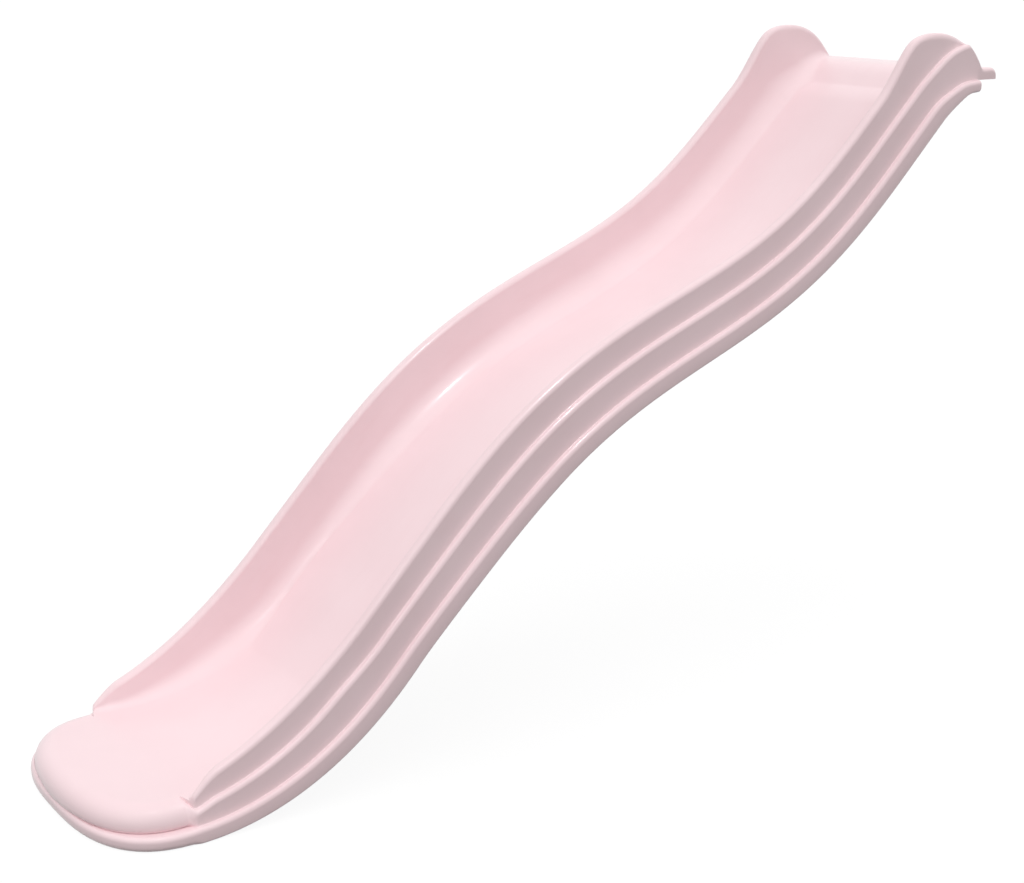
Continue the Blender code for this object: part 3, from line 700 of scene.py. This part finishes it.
def underside_across(s, outer):
    """Sections of the underside's right half: flange, round, side, bottom and channel, as x and n."""
    s = s[:, None]
    length = s * np.where(s < 0.0, (NOSE_LENGTH + NOSE_LEDGE) / NOSE_LENGTH, 1.0)
    side = half_width(s) + 2.0 * LEDGE_WIDTH
    top = seam_height(length) - MEETING_GAP
    bottom = underside_height(length)
    inset = 0.0 if outer else SKIN
    bed = -(2.0 if outer else 1.0) * SKIN - MEETING_GAP
    risen = mix(bottom + inset, bed, channel(s, EDGE_LAG * inset))
    flange = side - SEAM_FLANGE + 0.0 * s, top - inset
    corner = BAND_ROUND - EDGE_LAG * inset
    under = mix(BAND_EDGE_RADIUS, NOSE_UNDER_RADIUS, in_nose(s)) - 0.3 * inset
    upper = quarter(side - inset, top - inset, corner, corner, FLANGE_STEPS if outer else 3)
    lower = quarter(side - inset, bottom + inset, under, -under, 6 if outer else 2)
    u = np.linspace(0.0, 1.0, 7 if outer else 4)
    end_x = CHANNEL_HALF_LENGTH + EDGE_LAG * inset + CHANNEL_SLOPE * (1.0 - u) + 0.0 * s
    end_n = mix(bottom + inset, risen, smooth(u, 0.0, 1.0))
    inwards = np.linspace(1.0, 0.0, 5)[1:]
    x = [flange[0], upper[0][:, ::-1], lower[0], end_x, end_x[:, -1:] * inwards]
    n = [flange[1], upper[1][:, ::-1], lower[1], end_n, end_n[:, -1:] + 0.0 * inwards]
    return np.concatenate(x, 1), np.concatenate(n, 1)


def underside():
    """The tray: its outer grid ends in a rounded wall, and its inner grid stops a skin before it."""
    length = NOSE_LENGTH + NOSE_LEDGE
    within_s = STATIONS[STATIONS < CREST_END - BAND_EDGE_RADIUS]
    end_s, lift = rounded_end(CREST_END - BAND_EDGE_RADIUS, BAND_EDGE_RADIUS, 5)
    s = np.concatenate([within_s, end_s])
    x, n = underside_across(s, True)
    raised = np.concatenate([np.zeros(len(within_s)), lift])[:, None]
    n = np.where(np.arange(n.shape[1]) > FLANGE_STEPS + 1, n + raised, n)
    outer_x, outer_n = mirrored(x, n)
    in_s = np.append(within_s, CREST_END - SKIN)
    in_x, in_n = mirrored(*underside_across(in_s, False))
    half = (half_width(s) + 2.0 * LEDGE_WIDTH)[:, None]
    in_half = (half_width(in_s) + 2.0 * LEDGE_WIDTH)[:, None]
    outer = in_frame(s[:, None], outer_x, outer_n, half, length)
    inner = in_frame(in_s[:, None], in_x, in_n, in_half, length)
    rows, across, in_rows, within = len(s), outer_x.shape[1], len(in_s), in_x.shape[1]
    start = rows * across
    faces = grid_faces(rows, across) + grid_faces(in_rows, within, start)
    faces += edge_faces(in_rows, across, start, within)
    last = start + (in_rows - 1) * within
    joined = (in_rows - 1) * across
    faces.append((joined, joined + across - 1, last + within - 1, last))
    a = np.arange(in_rows - 1, rows - 1) * across
    faces += np.stack([a, a + across - 1, a + 2 * across - 1, a + across], -1).tolist()
    faces += [[*range(start - across, start)], [*range(last, last + within)]]
    verts = np.concatenate([outer.reshape(-1, 3), inner.reshape(-1, 3)])
    along = slide_places((outer_x, s, outer_n), (in_x, in_s, in_n))
    return mesh_piece("underside_skin", verts, faces, along)


underside_skin = underside()
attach(underside_skin, "root")
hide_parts("underside_shell")
report(underside_skin)

# %% [markdown]
# ## The deck fixings
#
# Each side of the lip has a stainless wood screw on a washer, under a pressed-in plastic cap. They
# are turned parts, so each is a profile carried round an axis. The screw's thread could be a Screw
# modifier, but a radius that depends on both the height and the angle makes the same helix in one
# grid, and its six-sided socket is the same grid with a radius that follows a hexagon.

# %% Caps and washers
WASHER_RADIUS = 0.0090
WASHER_THICKNESS = 0.0016
CAP_WALL = 0.0016
CAP_ROUND = 0.0007
CAP_CROWN = 0.0003
SPRUE_RADIUS = 0.0014
EDGE_BREAK = 0.0002
WASHER_ROUND = 0.0003
RECESS_FLOOR = LIP_DEPTH - RECESS_DEPTH
WASHER_LOW = RECESS_FLOOR + MEETING_GAP
WASHER_HIGH = WASHER_LOW + WASHER_THICKNESS


def arc(x, z, radius, start, end, steps=5):
    """Places on a circle round (x, z), between two angles in degrees."""
    t = np.radians(np.linspace(start, end, steps))
    return list(zip(x + radius * np.cos(t), z + radius * np.sin(t)))


def cap_profile():
    """A cup turned over: a thin wall, a small round at the edge, a low crown and a sprue mark."""
    under = LIP_DEPTH - CAP_WALL
    bore = CAP_RADIUS - CAP_WALL
    edge = arc(CAP_RADIUS - CAP_ROUND, LIP_DEPTH - CAP_ROUND, CAP_ROUND, 0.0, 90.0)
    r = np.linspace(CAP_RADIUS - CAP_ROUND, SPRUE_RADIUS, 9)[1:]
    crown = list(zip(r, LIP_DEPTH + CAP_CROWN * (1.0 - (r / CAP_RADIUS) ** 2)))
    sprue = [(SPRUE_RADIUS - EDGE_BREAK, LIP_DEPTH), (0.0, LIP_DEPTH)]
    wall = [(0.0, under), (bore, under), (bore, WASHER_LOW), (CAP_RADIUS, WASHER_LOW)]
    return wall + edge + crown + sprue


def washer_profile():
    """A flat ring with its edges broken by small rounds, as a stamped washer's are."""
    e = WASHER_ROUND
    low, high = WASHER_LOW + e, WASHER_HIGH - e
    wide, hole = WASHER_RADIUS - e, SCREW_HOLE_RADIUS + e
    corners = ((wide, low, -90.0), (wide, high, 0.0), (hole, high, 90.0), (hole, low, 180.0))
    ring = [place for x, z, start in corners for place in arc(x, z, e, start, start + 90.0, 4)]
    return ring + ring[:1]


for side, x in SIDES:
    cap = turned(f"round_cap_{side}", cap_profile(), (x, 0.0, 0.0), steps=72, sharp=50.0)
    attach(cap, "root")
    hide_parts(f"screw_cap_{side}")
    washer = turned(f"flat_washer_{side}", washer_profile(), (x, 0.0, 0.0), steps=64, sharp=50.0)
    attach(washer, "root")
    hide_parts(f"deck_washer_{side}")
    report(cap)
    report(washer)

# %% Wood screws
SCREW_RADIUS = 0.0030
SCREW_CORE = 0.0021
THREAD_PITCH = 0.0026
THREAD_END = -0.004
THREAD_FADE = 0.003
SCREW_REACH = 0.045
SCREW_POINT = 0.009
HEAD_RADIUS = 0.0058
HEAD_HEIGHT = 0.0040
HEAD_ROUND = 0.0022
SOCKET_RADIUS = 0.0026
SOCKET_DEPTH = 0.0022
SOCKET_FLARE = 1.06
SOCKET_DISH = 0.0005
SCREW_SIDES = 48


def shaft_rows():
    """Heights and radii of the shaft: the core, plus a ridge where the helix passes, and a point.

    The ridge is a triangle wave of the height in thread pitches less the angle in turns, cubed so
    that it is sharp at its crest and wide at its root.
    """
    height = np.linspace(-SCREW_REACH, THREAD_END, 190)[:, None]
    turns = np.linspace(0.0, 1.0, SCREW_SIDES, endpoint=False)[None, :]
    wave = np.abs(2.0 * ((height / THREAD_PITCH - turns) % 1.0) - 1.0) ** 3
    taper = share(height, -SCREW_REACH, -SCREW_REACH + SCREW_POINT) ** 0.8
    fade = 1.0 - share(height, THREAD_END - THREAD_FADE, THREAD_END)
    return height + 0.0 * turns, taper * (SCREW_CORE + (SCREW_RADIUS - SCREW_CORE) * wave * fade)


def screw(name, x):
    """Shaft, plain neck, rounded head and six-sided socket, as rows of one grid up and into the head."""
    turns = np.linspace(0.0, 2.0 * np.pi, SCREW_SIDES, endpoint=False)[None, :]
    hexagon = SOCKET_RADIUS * math.cos(math.pi / 6.0) / np.cos(turns % (math.pi / 3.0) - math.pi / 6.0)
    height, radius = shaft_rows()
    seat = WASHER_HIGH + MEETING_GAP
    top = seat + HEAD_HEIGHT
    rounded = arc(HEAD_RADIUS - HEAD_ROUND, top - HEAD_ROUND, HEAD_ROUND, 0.0, 90.0, 8)
    head = [(SCREW_CORE, seat), (HEAD_RADIUS - EDGE_BREAK, seat), (HEAD_RADIUS, seat + EDGE_BREAK)]
    head += rounded
    head_r, head_z = np.array(head).T[:, :, None]
    low = top - SOCKET_DEPTH
    socket = [(SOCKET_FLARE, top), (1.0, top - EDGE_BREAK), (1.0, low)]
    socket += [(0.5, low - 0.6 * SOCKET_DISH), (0.0, low - SOCKET_DISH)]
    socket_r, socket_z = np.array(socket).T[:, :, None]
    r = np.concatenate([radius, head_r + 0.0 * turns, socket_r * hexagon])
    z = np.concatenate([height, head_z + 0.0 * turns, socket_z + 0.0 * turns])
    verts = np.stack([x + r * np.cos(turns), r * np.sin(turns), z], -1)
    faces = grid_faces(len(r), SCREW_SIDES, around=True)
    return mesh_piece(name, verts.reshape(-1, 3), faces, sharp=40.0)


for side, x in SIDES:
    made = screw(f"wood_screw_{side}", x)
    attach(made, "root")
    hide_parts(f"deck_screw_{side}")
    report(made)

# %% [markdown]
# ## The drain plugs
#
# A hollow slide takes in a little water, so it has a drain hole near each end, closed by a push-in
# rubber plug. Each plug stands square to the underside. Its place is read from its CAD node's box,
# and its direction is square to the underside's line there.

# %% Drain plugs and their holes
PLUG_HEAD_RADIUS = 0.010
PLUG_HEAD_THICKNESS = 0.0022
PLUG_HEAD_ROUND = 0.0011
PLUG_STEM_RADIUS = 0.0065
PLUG_BARB_RADIUS = 0.0071
PLUG_STEM_LENGTH = 0.0090
PLUG_STEM_TAPER = 0.0008
PLUG_BARB_LENGTH = 0.0016
PLUG_BARB_EDGE = 0.0004
PLUG_RINGS = 2
PLUG_RING_HEIGHT = 0.0002
HOLE_REACH = 0.006


def plug_seat(node):
    """The place on the underside's middle line nearest to the CAD plug, and the way down from it."""
    low, high = (np.array(corner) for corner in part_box(node))
    s = np.linspace(0.05, CREST_START, 6000)
    line = in_frame(s, 0.0 * s, underside_height(s), 1.0, NOSE_LENGTH)
    near = int(np.linalg.norm(line - (low + high) / 2.0, axis=1).argmin())
    run = line[near + 1] - line[near - 1]
    down = np.array([0.0, run[2], -run[1]])
    return line[near], down / np.linalg.norm(down)


def plug_profile():
    """A stem with a barb inside, a rounded head outside, and raised rings on the head as a grip."""
    inner_face = -SKIN - MEETING_GAP
    barb = inner_face - PLUG_BARB_EDGE
    stem = [(0.0, -PLUG_STEM_LENGTH), (PLUG_STEM_RADIUS - PLUG_STEM_TAPER, -PLUG_STEM_LENGTH)]
    stem += [(PLUG_BARB_RADIUS, barb - PLUG_BARB_LENGTH), (PLUG_BARB_RADIUS, barb)]
    stem += [(PLUG_STEM_RADIUS, inner_face), (PLUG_STEM_RADIUS, MEETING_GAP)]
    stem.append((PLUG_HEAD_RADIUS - FIT, MEETING_GAP))
    rounded = PLUG_HEAD_RADIUS - PLUG_HEAD_ROUND
    edge = arc(rounded, PLUG_HEAD_THICKNESS - PLUG_HEAD_ROUND, PLUG_HEAD_ROUND, 0.0, 90.0)
    r = np.linspace(rounded - EDGE_BREAK, 0.0, 40)
    wave = np.cos(2.0 * np.pi * PLUG_RINGS * r / PLUG_HEAD_RADIUS)
    return stem + edge + list(zip(r, PLUG_HEAD_THICKNESS - PLUG_RING_HEIGHT * (1.0 - wave)))


for end in ("lower", "upper"):
    seat, down = plug_seat(f"drain_plug_{end}")
    bore = PLUG_STEM_RADIUS + FIT
    hole = [(0.0, -HOLE_REACH), (bore, -HOLE_REACH), (bore, HOLE_REACH), (0.0, HOLE_REACH)]
    cut(underside_skin, [turned("drain_hole", hole, seat, down)])
    plug = turned(f"rubber_plug_{end}", plug_profile(), seat, down, sharp=40.0)
    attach(plug, "root")
    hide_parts(f"drain_plug_{end}")
    report(plug)

# %% [markdown]
# ## Finishes
#
# Colours are written as sRGB hex values, as a paint chart would give them, and one function turns
# them into the linear values that a shader works with. Another adds one node with its settings and
# links, so that each finish reads as a short list.


# %% Colours and nodes
def linear(colour):
    """An sRGB hex colour as linear red, green and blue: the two-part sRGB curve for each byte."""
    c = np.array([int(colour[k : k + 2], 16) for k in (0, 2, 4)]) / 255.0
    c = np.where(c <= 0.04045, c / 12.92, ((c + 0.055) / 1.055) ** 2.4)
    return (*c.tolist(), 1.0)


def add(material, kind, inputs=None, **settings):
    """Adds one node. A setting is the node's own; an input is a value, or a socket to link from."""
    made = material.node_tree.nodes.new(kind)
    for name, value in settings.items():
        setattr(made, name, value)
    for name, value in (inputs or {}).items():
        if isinstance(value, bpy.types.NodeSocket):
            material.node_tree.links.new(value, made.inputs[name])
        else:
            made.inputs[name].default_value = value
    return made


def finish(name, **values):
    """A material with one Principled shader, whose even values are set on its own sockets."""
    made = bpy.data.materials.new(name)
    made.use_nodes = True
    shader = made.node_tree.nodes["Principled BSDF"]
    for socket, value in values.items():
        shader.inputs[socket.replace("_", " ")].default_value = value
    return made, shader


# %% [markdown]
# ### Moulded polyethylene
#
# The slide is coloured through with pigment, and takes its gloss from the mould. Three things keep
# it from looking like flat paint. Its surface is very slightly uneven, by about a fifth of a
# millimetre over six centimetres, which makes its reflections swim. It has a fine orange peel of
# 3 mm. And the pigment is a little cloudy. The bed also has faint rub marks that follow the wave,
# so they read the slide's own length and width from the attribute, and not the frame's. The thin
# gloss of the moulded surface is a weak coat over the softer shine below it.

# %% Polyethylene
PINK = "F5DADE"
PALE_PINK = "F8DEE2"
RUBBED_PINK = "F4D6DA"
POLYETHYLENE_IOR = 1.51
MOULD_GLOSS = {"Coat_Weight": 0.30, "Coat_Roughness": 0.12}
BED_ROUGHNESS = 0.34
BAND_ROUGHNESS = 0.36
CAP_ROUGHNESS = 0.42
RIPPLE_LENGTH = 0.060
RIPPLE_HEIGHT = 0.00022
PEEL_LENGTH = 0.003
PEEL_HEIGHT = 0.000012
CLOUD_LENGTH = 0.200
CLOUD_STOPS = (0.35, 0.70)
RUB_LENGTH = 0.120
RUB_WIDTH = 0.0025
RUB_DEPTH = 0.00001
RUB_START = 0.050
RUB_FULL = 0.350
RUB_THRESHOLD = 0.55
RUB_DULLING = 0.15


def polyethylene(name, roughness, rubbed):
    """Cloudy pigment, low ripples and orange peel, and rub marks along the bed where it is rubbed."""
    made, shader = finish(name, Roughness=roughness, IOR=POLYETHYLENE_IOR, **MOULD_GLOSS)
    place = add(made, "ShaderNodeTexCoord").outputs["Object"]
    cloud = add(made, "ShaderNodeTexNoise", {"Vector": place, "Scale": 1.0 / CLOUD_LENGTH, "Detail": 3.0})
    ripple = add(made, "ShaderNodeTexNoise", {"Vector": place, "Scale": 1.0 / RIPPLE_LENGTH, "Detail": 1.0})
    peel = add(made, "ShaderNodeTexNoise", {"Vector": place, "Scale": 1.0 / PEEL_LENGTH, "Detail": 2.0})
    tint = add(made, "ShaderNodeValToRGB", {"Fac": cloud.outputs["Fac"]})
    for stop, where, pink in zip(tint.color_ramp.elements, CLOUD_STOPS, (PINK, PALE_PINK)):
        stop.position, stop.color = where, linear(pink)
    uneven = add(made, "ShaderNodeBump", {"Height": ripple.outputs["Fac"], "Distance": RIPPLE_HEIGHT})
    fine = {"Height": peel.outputs["Fac"], "Distance": PEEL_HEIGHT, "Normal": uneven.outputs["Normal"]}
    skin = add(made, "ShaderNodeBump", fine)
    colour, normal = tint.outputs["Color"], skin.outputs["Normal"]
    if rubbed:
        way = add(made, "ShaderNodeAttribute", attribute_name="slide_place").outputs["Vector"]
        scale = (1.0 / RUB_WIDTH, 1.0 / RUB_LENGTH, 0.0)
        stretch = add(made, "ShaderNodeMapping", {"Vector": way, "Scale": scale}).outputs["Vector"]
        marks = add(made, "ShaderNodeTexNoise", {"Vector": stretch, "Scale": 1.0, "Detail": 3.0})
        length = add(made, "ShaderNodeSeparateXYZ", {"Vector": way}).outputs["Y"]
        zone = {"Value": length, "From Min": RUB_START, "From Max": RUB_FULL}
        low = add(made, "ShaderNodeMapRange", zone).outputs["Result"]
        faint = {"Value": marks.outputs["Fac"], "From Min": RUB_THRESHOLD, "From Max": 1.0}
        faint = add(made, "ShaderNodeMapRange", faint).outputs["Result"]
        amount = add(made, "ShaderNodeMath", {0: low, 1: faint}, operation="MULTIPLY").outputs[0]
        pinks = {0: amount, 6: colour, 7: linear(RUBBED_PINK)}
        rub = add(made, "ShaderNodeMix", pinks, data_type="RGBA")
        dull = {"Value": amount, "To Min": roughness, "To Max": roughness + RUB_DULLING}
        dull = add(made, "ShaderNodeMapRange", dull)
        worn = {"Height": amount, "Distance": -RUB_DEPTH, "Normal": normal}
        scratch = add(made, "ShaderNodeBump", worn)
        colour, normal = rub.outputs[2], scratch.outputs["Normal"]
        made.node_tree.links.new(dull.outputs["Result"], shader.inputs["Roughness"])
    made.node_tree.links.new(colour, shader.inputs["Base Color"])
    made.node_tree.links.new(normal, shader.inputs["Normal"])
    return made


chute_skin.data.materials.clear()
chute_skin.data.materials.append(polyethylene("moulded_polyethylene_bed", BED_ROUGHNESS, True))
underside_skin.data.materials.clear()
band_plastic = polyethylene("moulded_polyethylene_band", BAND_ROUGHNESS, False)
underside_skin.data.materials.append(band_plastic)
cap_plastic = polyethylene("injected_polyethylene_cap", CAP_ROUGHNESS, False)
for side in ("left", "right"):
    bpy.data.objects[f"round_cap_{side}"].data.materials.append(cap_plastic)
print("polyethylene on", chute_skin.name, underside_skin.name, "and both caps")

# %% [markdown]
# ### Stainless steel and rubber
#
# The screws and washers are rolled and stamped stainless steel: a slightly warm grey metal, with a
# fine grain that spreads its highlights. The plugs are moulded black rubber, dull, with a fine matt
# texture from the mould and a trace of dust in it. Both grains are drawn several times coarser than
# the real ones, so that they show at all.

# %% Steel and rubber
STEEL = "C6C4C0"
STEEL_ROUGHNESS = (0.24, 0.42)
GRAIN_LENGTH = 0.0008
GRAIN_DEPTH = 0.00001
RUBBER_ROUGHNESS = 0.78
RUBBER_IOR = 1.52
RUBBER_BLACK = "1C1C1E"
RUBBER_DUST = "2E2D2D"
RUBBER_GRAIN = 0.0006
RUBBER_GRAIN_DEPTH = 0.00004


def stainless(name):
    """Rolled steel: an even metal, whose roughness and height follow a fine grain."""
    made, shader = finish(name, Base_Color=linear(STEEL), Metallic=1.0)
    place = add(made, "ShaderNodeTexCoord").outputs["Object"]
    grain = add(made, "ShaderNodeTexNoise", {"Vector": place, "Scale": 1.0 / GRAIN_LENGTH, "Detail": 3.0})
    smoothest, roughest = STEEL_ROUGHNESS
    spread = {"Value": grain.outputs["Fac"], "To Min": smoothest, "To Max": roughest}
    spread = add(made, "ShaderNodeMapRange", spread)
    bump = add(made, "ShaderNodeBump", {"Height": grain.outputs["Fac"], "Distance": GRAIN_DEPTH})
    made.node_tree.links.new(spread.outputs["Result"], shader.inputs["Roughness"])
    made.node_tree.links.new(bump.outputs["Normal"], shader.inputs["Normal"])
    return made


def black_rubber(name):
    """Moulded rubber: near black, dusty in the grain's hollows, with a rough surface."""
    made, shader = finish(name, Roughness=RUBBER_ROUGHNESS, IOR=RUBBER_IOR)
    place = add(made, "ShaderNodeTexCoord").outputs["Object"]
    grain = add(made, "ShaderNodeTexNoise", {"Vector": place, "Scale": 1.0 / RUBBER_GRAIN, "Detail": 4.0})
    blacks = {0: grain.outputs["Fac"], 6: linear(RUBBER_BLACK), 7: linear(RUBBER_DUST)}
    dust = add(made, "ShaderNodeMix", blacks, data_type="RGBA")
    bump = {"Height": grain.outputs["Fac"], "Distance": RUBBER_GRAIN_DEPTH}
    bump = add(made, "ShaderNodeBump", bump)
    made.node_tree.links.new(dust.outputs[2], shader.inputs["Base Color"])
    made.node_tree.links.new(bump.outputs["Normal"], shader.inputs["Normal"])
    return made


steel = stainless("rolled_stainless_steel")
rubber = black_rubber("moulded_black_rubber")
for name in ("wood_screw_left", "wood_screw_right", "flat_washer_left", "flat_washer_right"):
    bpy.data.objects[name].data.materials.append(steel)
for name in ("rubber_plug_lower", "rubber_plug_upper"):
    bpy.data.objects[name].data.materials.append(rubber)
print("steel and rubber on the fixings and plugs")

# %% [markdown]
# ## Floor, light and camera
#
# The slide stands in a white studio. One broad soft lamp from above, a little to the front right,
# gives the bed its full colour, and the sky and the floor fill the sides. The floor and the sky look
# white to the camera and in reflections, but light the slide only as a plain pale room would.

# %% Floor
FLOOR_HALF = 120.0
FLOOR_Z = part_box("underside_shell")[0].z
FLOOR_PAINT = "666666"
FLOOR_SEEN = "5A5A5A"
FLOOR_GLOW = 0.92


def seen_rays(shaders):
    """1 for rays from the camera, in gloss or through clear things: the largest of those three."""
    path = add(shaders, "ShaderNodeLightPath")
    sharp = {0: path.outputs["Is Camera Ray"], 1: path.outputs["Is Glossy Ray"]}
    sharp = add(shaders, "ShaderNodeMath", sharp, operation="MAXIMUM")
    clear = {0: sharp.outputs[0], 1: path.outputs["Is Transmission Ray"]}
    return add(shaders, "ShaderNodeMath", clear, operation="MAXIMUM").outputs[0]


def studio_white(name, glow):
    """A floor that takes shadows: mostly even white to the camera, and plain pale paint to light."""
    made = bpy.data.materials.new(name)
    made.use_nodes = True
    made.node_tree.nodes.clear()
    seen = seen_rays(made)
    plain = add(made, "ShaderNodeBsdfDiffuse", {"Color": linear(FLOOR_PAINT)})
    faint = add(made, "ShaderNodeBsdfDiffuse", {"Color": linear(FLOOR_SEEN)})
    light = add(made, "ShaderNodeEmission", {"Strength": glow})
    white = add(made, "ShaderNodeAddShader", {0: faint.outputs[0], 1: light.outputs[0]})
    both = add(made, "ShaderNodeMixShader", {0: seen, 1: plain.outputs[0], 2: white.outputs[0]})
    add(made, "ShaderNodeOutputMaterial", {"Surface": both.outputs[0]})
    return made


corners = np.array([[-1, -1, 0], [1, -1, 0], [1, 1, 0], [-1, 1, 0]]) * FLOOR_HALF + [0, 0, FLOOR_Z]
floor = mesh_piece("studio_floor", corners, [(0, 1, 2, 3)], closed=False)
floor.data.materials.append(studio_white("studio_white", FLOOR_GLOW))
floor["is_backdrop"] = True
print("floor at", round(FLOOR_Z, 4), "m")

# %% [markdown]
# The camera's place and lens were found by fitting the slide's outline to the photograph. It stands
# three and a half metres from the middle of the slide, to its front right, and looks a little down.

# %% Camera
PICTURE_WIDTH_PX = 1024.0
FOCAL_PX = 1804.28
SENSOR_MM = 36.0
CAMERA_PLACE = (2.79778, -2.86588, 0.27317)
CAMERA_TURN = 0.98157
CAMERA_DOWN = 0.27131

lens = bpy.data.cameras.new("photo_camera")
lens.sensor_fit = "HORIZONTAL"
lens.sensor_width = SENSOR_MM
lens.lens = FOCAL_PX / PICTURE_WIDTH_PX * SENSOR_MM
camera = bpy.data.objects.new("photo_camera", lens)
camera.location = CAMERA_PLACE
camera.rotation_euler = (math.pi / 2.0 - CAMERA_DOWN, 0.0, CAMERA_TURN)
bpy.context.scene.collection.objects.link(camera)
bpy.context.scene.camera = camera
bpy.context.scene.view_settings.view_transform = "Standard"
print(f"lens {lens.lens:.1f} mm")

# %% [markdown]
# The broad lamp is a far one, seventy degrees wide, so its shadows have no edges. The two streaks
# that show how the fillet turns are mirrored lamps. A lamp is seen in a surface in the direction
# 2 (n.v) n - v, with n the surface's direction and v the camera's. Each small lamp stands that way
# from one place on the fillet, and only ever shows in reflections.

# %% Light
HORIZON_LIGHT = 0.22
ZENITH_LIGHT = 0.88
KEY_STRENGTH = 1.40
KEY_ANGLE = 70.0
KEY_FROM = (0.40, -0.36, 0.845)
FILLET_PLACE = (-0.165, 0.020)
STREAK_DISTANCE = 1.0
STREAK_SIZE = 0.075
# Each streak has its length along the bed line in metres, and its lamp's power in watts.
STREAKS = {"hump_glint": (0.945, 9.0), "fall_glint": (0.511, 1.2)}


def white_sky():
    """White where it is seen, also in reflections, and else a pale sky that is brightest overhead."""
    world = bpy.data.worlds.new("studio_sky")
    world.use_nodes = True
    bpy.context.scene.world = world
    world.node_tree.nodes.clear()
    way = add(world, "ShaderNodeTexCoord").outputs["Generated"]
    up = add(world, "ShaderNodeSeparateXYZ", {"Vector": way}).outputs["Z"]
    shine = {"Value": up, "To Min": HORIZON_LIGHT, "To Max": ZENITH_LIGHT}
    shine = add(world, "ShaderNodeMapRange", shine).outputs["Result"]
    level = add(world, "ShaderNodeMix", {0: seen_rays(world), 2: shine, 3: 1.0})
    sky = add(world, "ShaderNodeBackground", {"Color": (1.0, 1.0, 1.0, 1.0), "Strength": level.outputs[0]})
    add(world, "ShaderNodeOutputWorld", {"Surface": sky.outputs[0]})


def sun(name, strength, angle, towards):
    """A far lamp as wide as the angle in degrees, which isn't seen in reflections."""
    lamp = bpy.data.lights.new(name, "SUN")
    lamp.energy = strength
    lamp.angle = math.radians(angle)
    placed = bpy.data.objects.new(name, lamp)
    x, y, z = towards
    placed.rotation_euler = (math.atan2(math.hypot(x, y), z), 0.0, math.atan2(x, -y))
    placed.visible_glossy = False
    bpy.context.scene.collection.objects.link(placed)


def glint(name, s, power):
    """A small lamp that only reflects, placed where the left fillet at s mirrors it to the camera.

    Half way up the fillet, its direction leans as far inwards as it points away from the bed.
    """
    lamp = bpy.data.lights.new(name, "POINT")
    lamp.energy = power
    lamp.shadow_soft_size = STREAK_SIZE
    x, n = FILLET_PLACE
    place = in_frame(s, x, n, CHUTE_HALF, NOSE_LENGTH)
    view = np.array(CAMERA_PLACE) - place
    view /= np.linalg.norm(view)
    facing = np.array([1.0, -math.sin(pitch(s)), math.cos(pitch(s))]) / math.sqrt(2.0)
    placed = bpy.data.objects.new(name, lamp)
    placed.location = place + STREAK_DISTANCE * (2.0 * (facing @ view) * facing - view)
    placed.visible_camera = False
    placed.visible_diffuse = False
    bpy.context.scene.collection.objects.link(placed)


white_sky()
sun("overhead_softbox", KEY_STRENGTH, KEY_ANGLE, KEY_FROM)
for name, (s, power) in STREAKS.items():
    glint(name, s, power)

# %% [markdown]
# ## Sizes, and the end
#
# The dressed slide is made to fill the same box as the CAD model. Both boxes are printed.

# %% Sizes and finish
visual_box = [list(corner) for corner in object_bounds()]
for title, (low, high) in (("CAD", CAD_BOX), ("visual", visual_box)):
    print(title, "box:", *(f"{(b - a) * 1000:.1f}" for a, b in zip(low, high)), "mm")
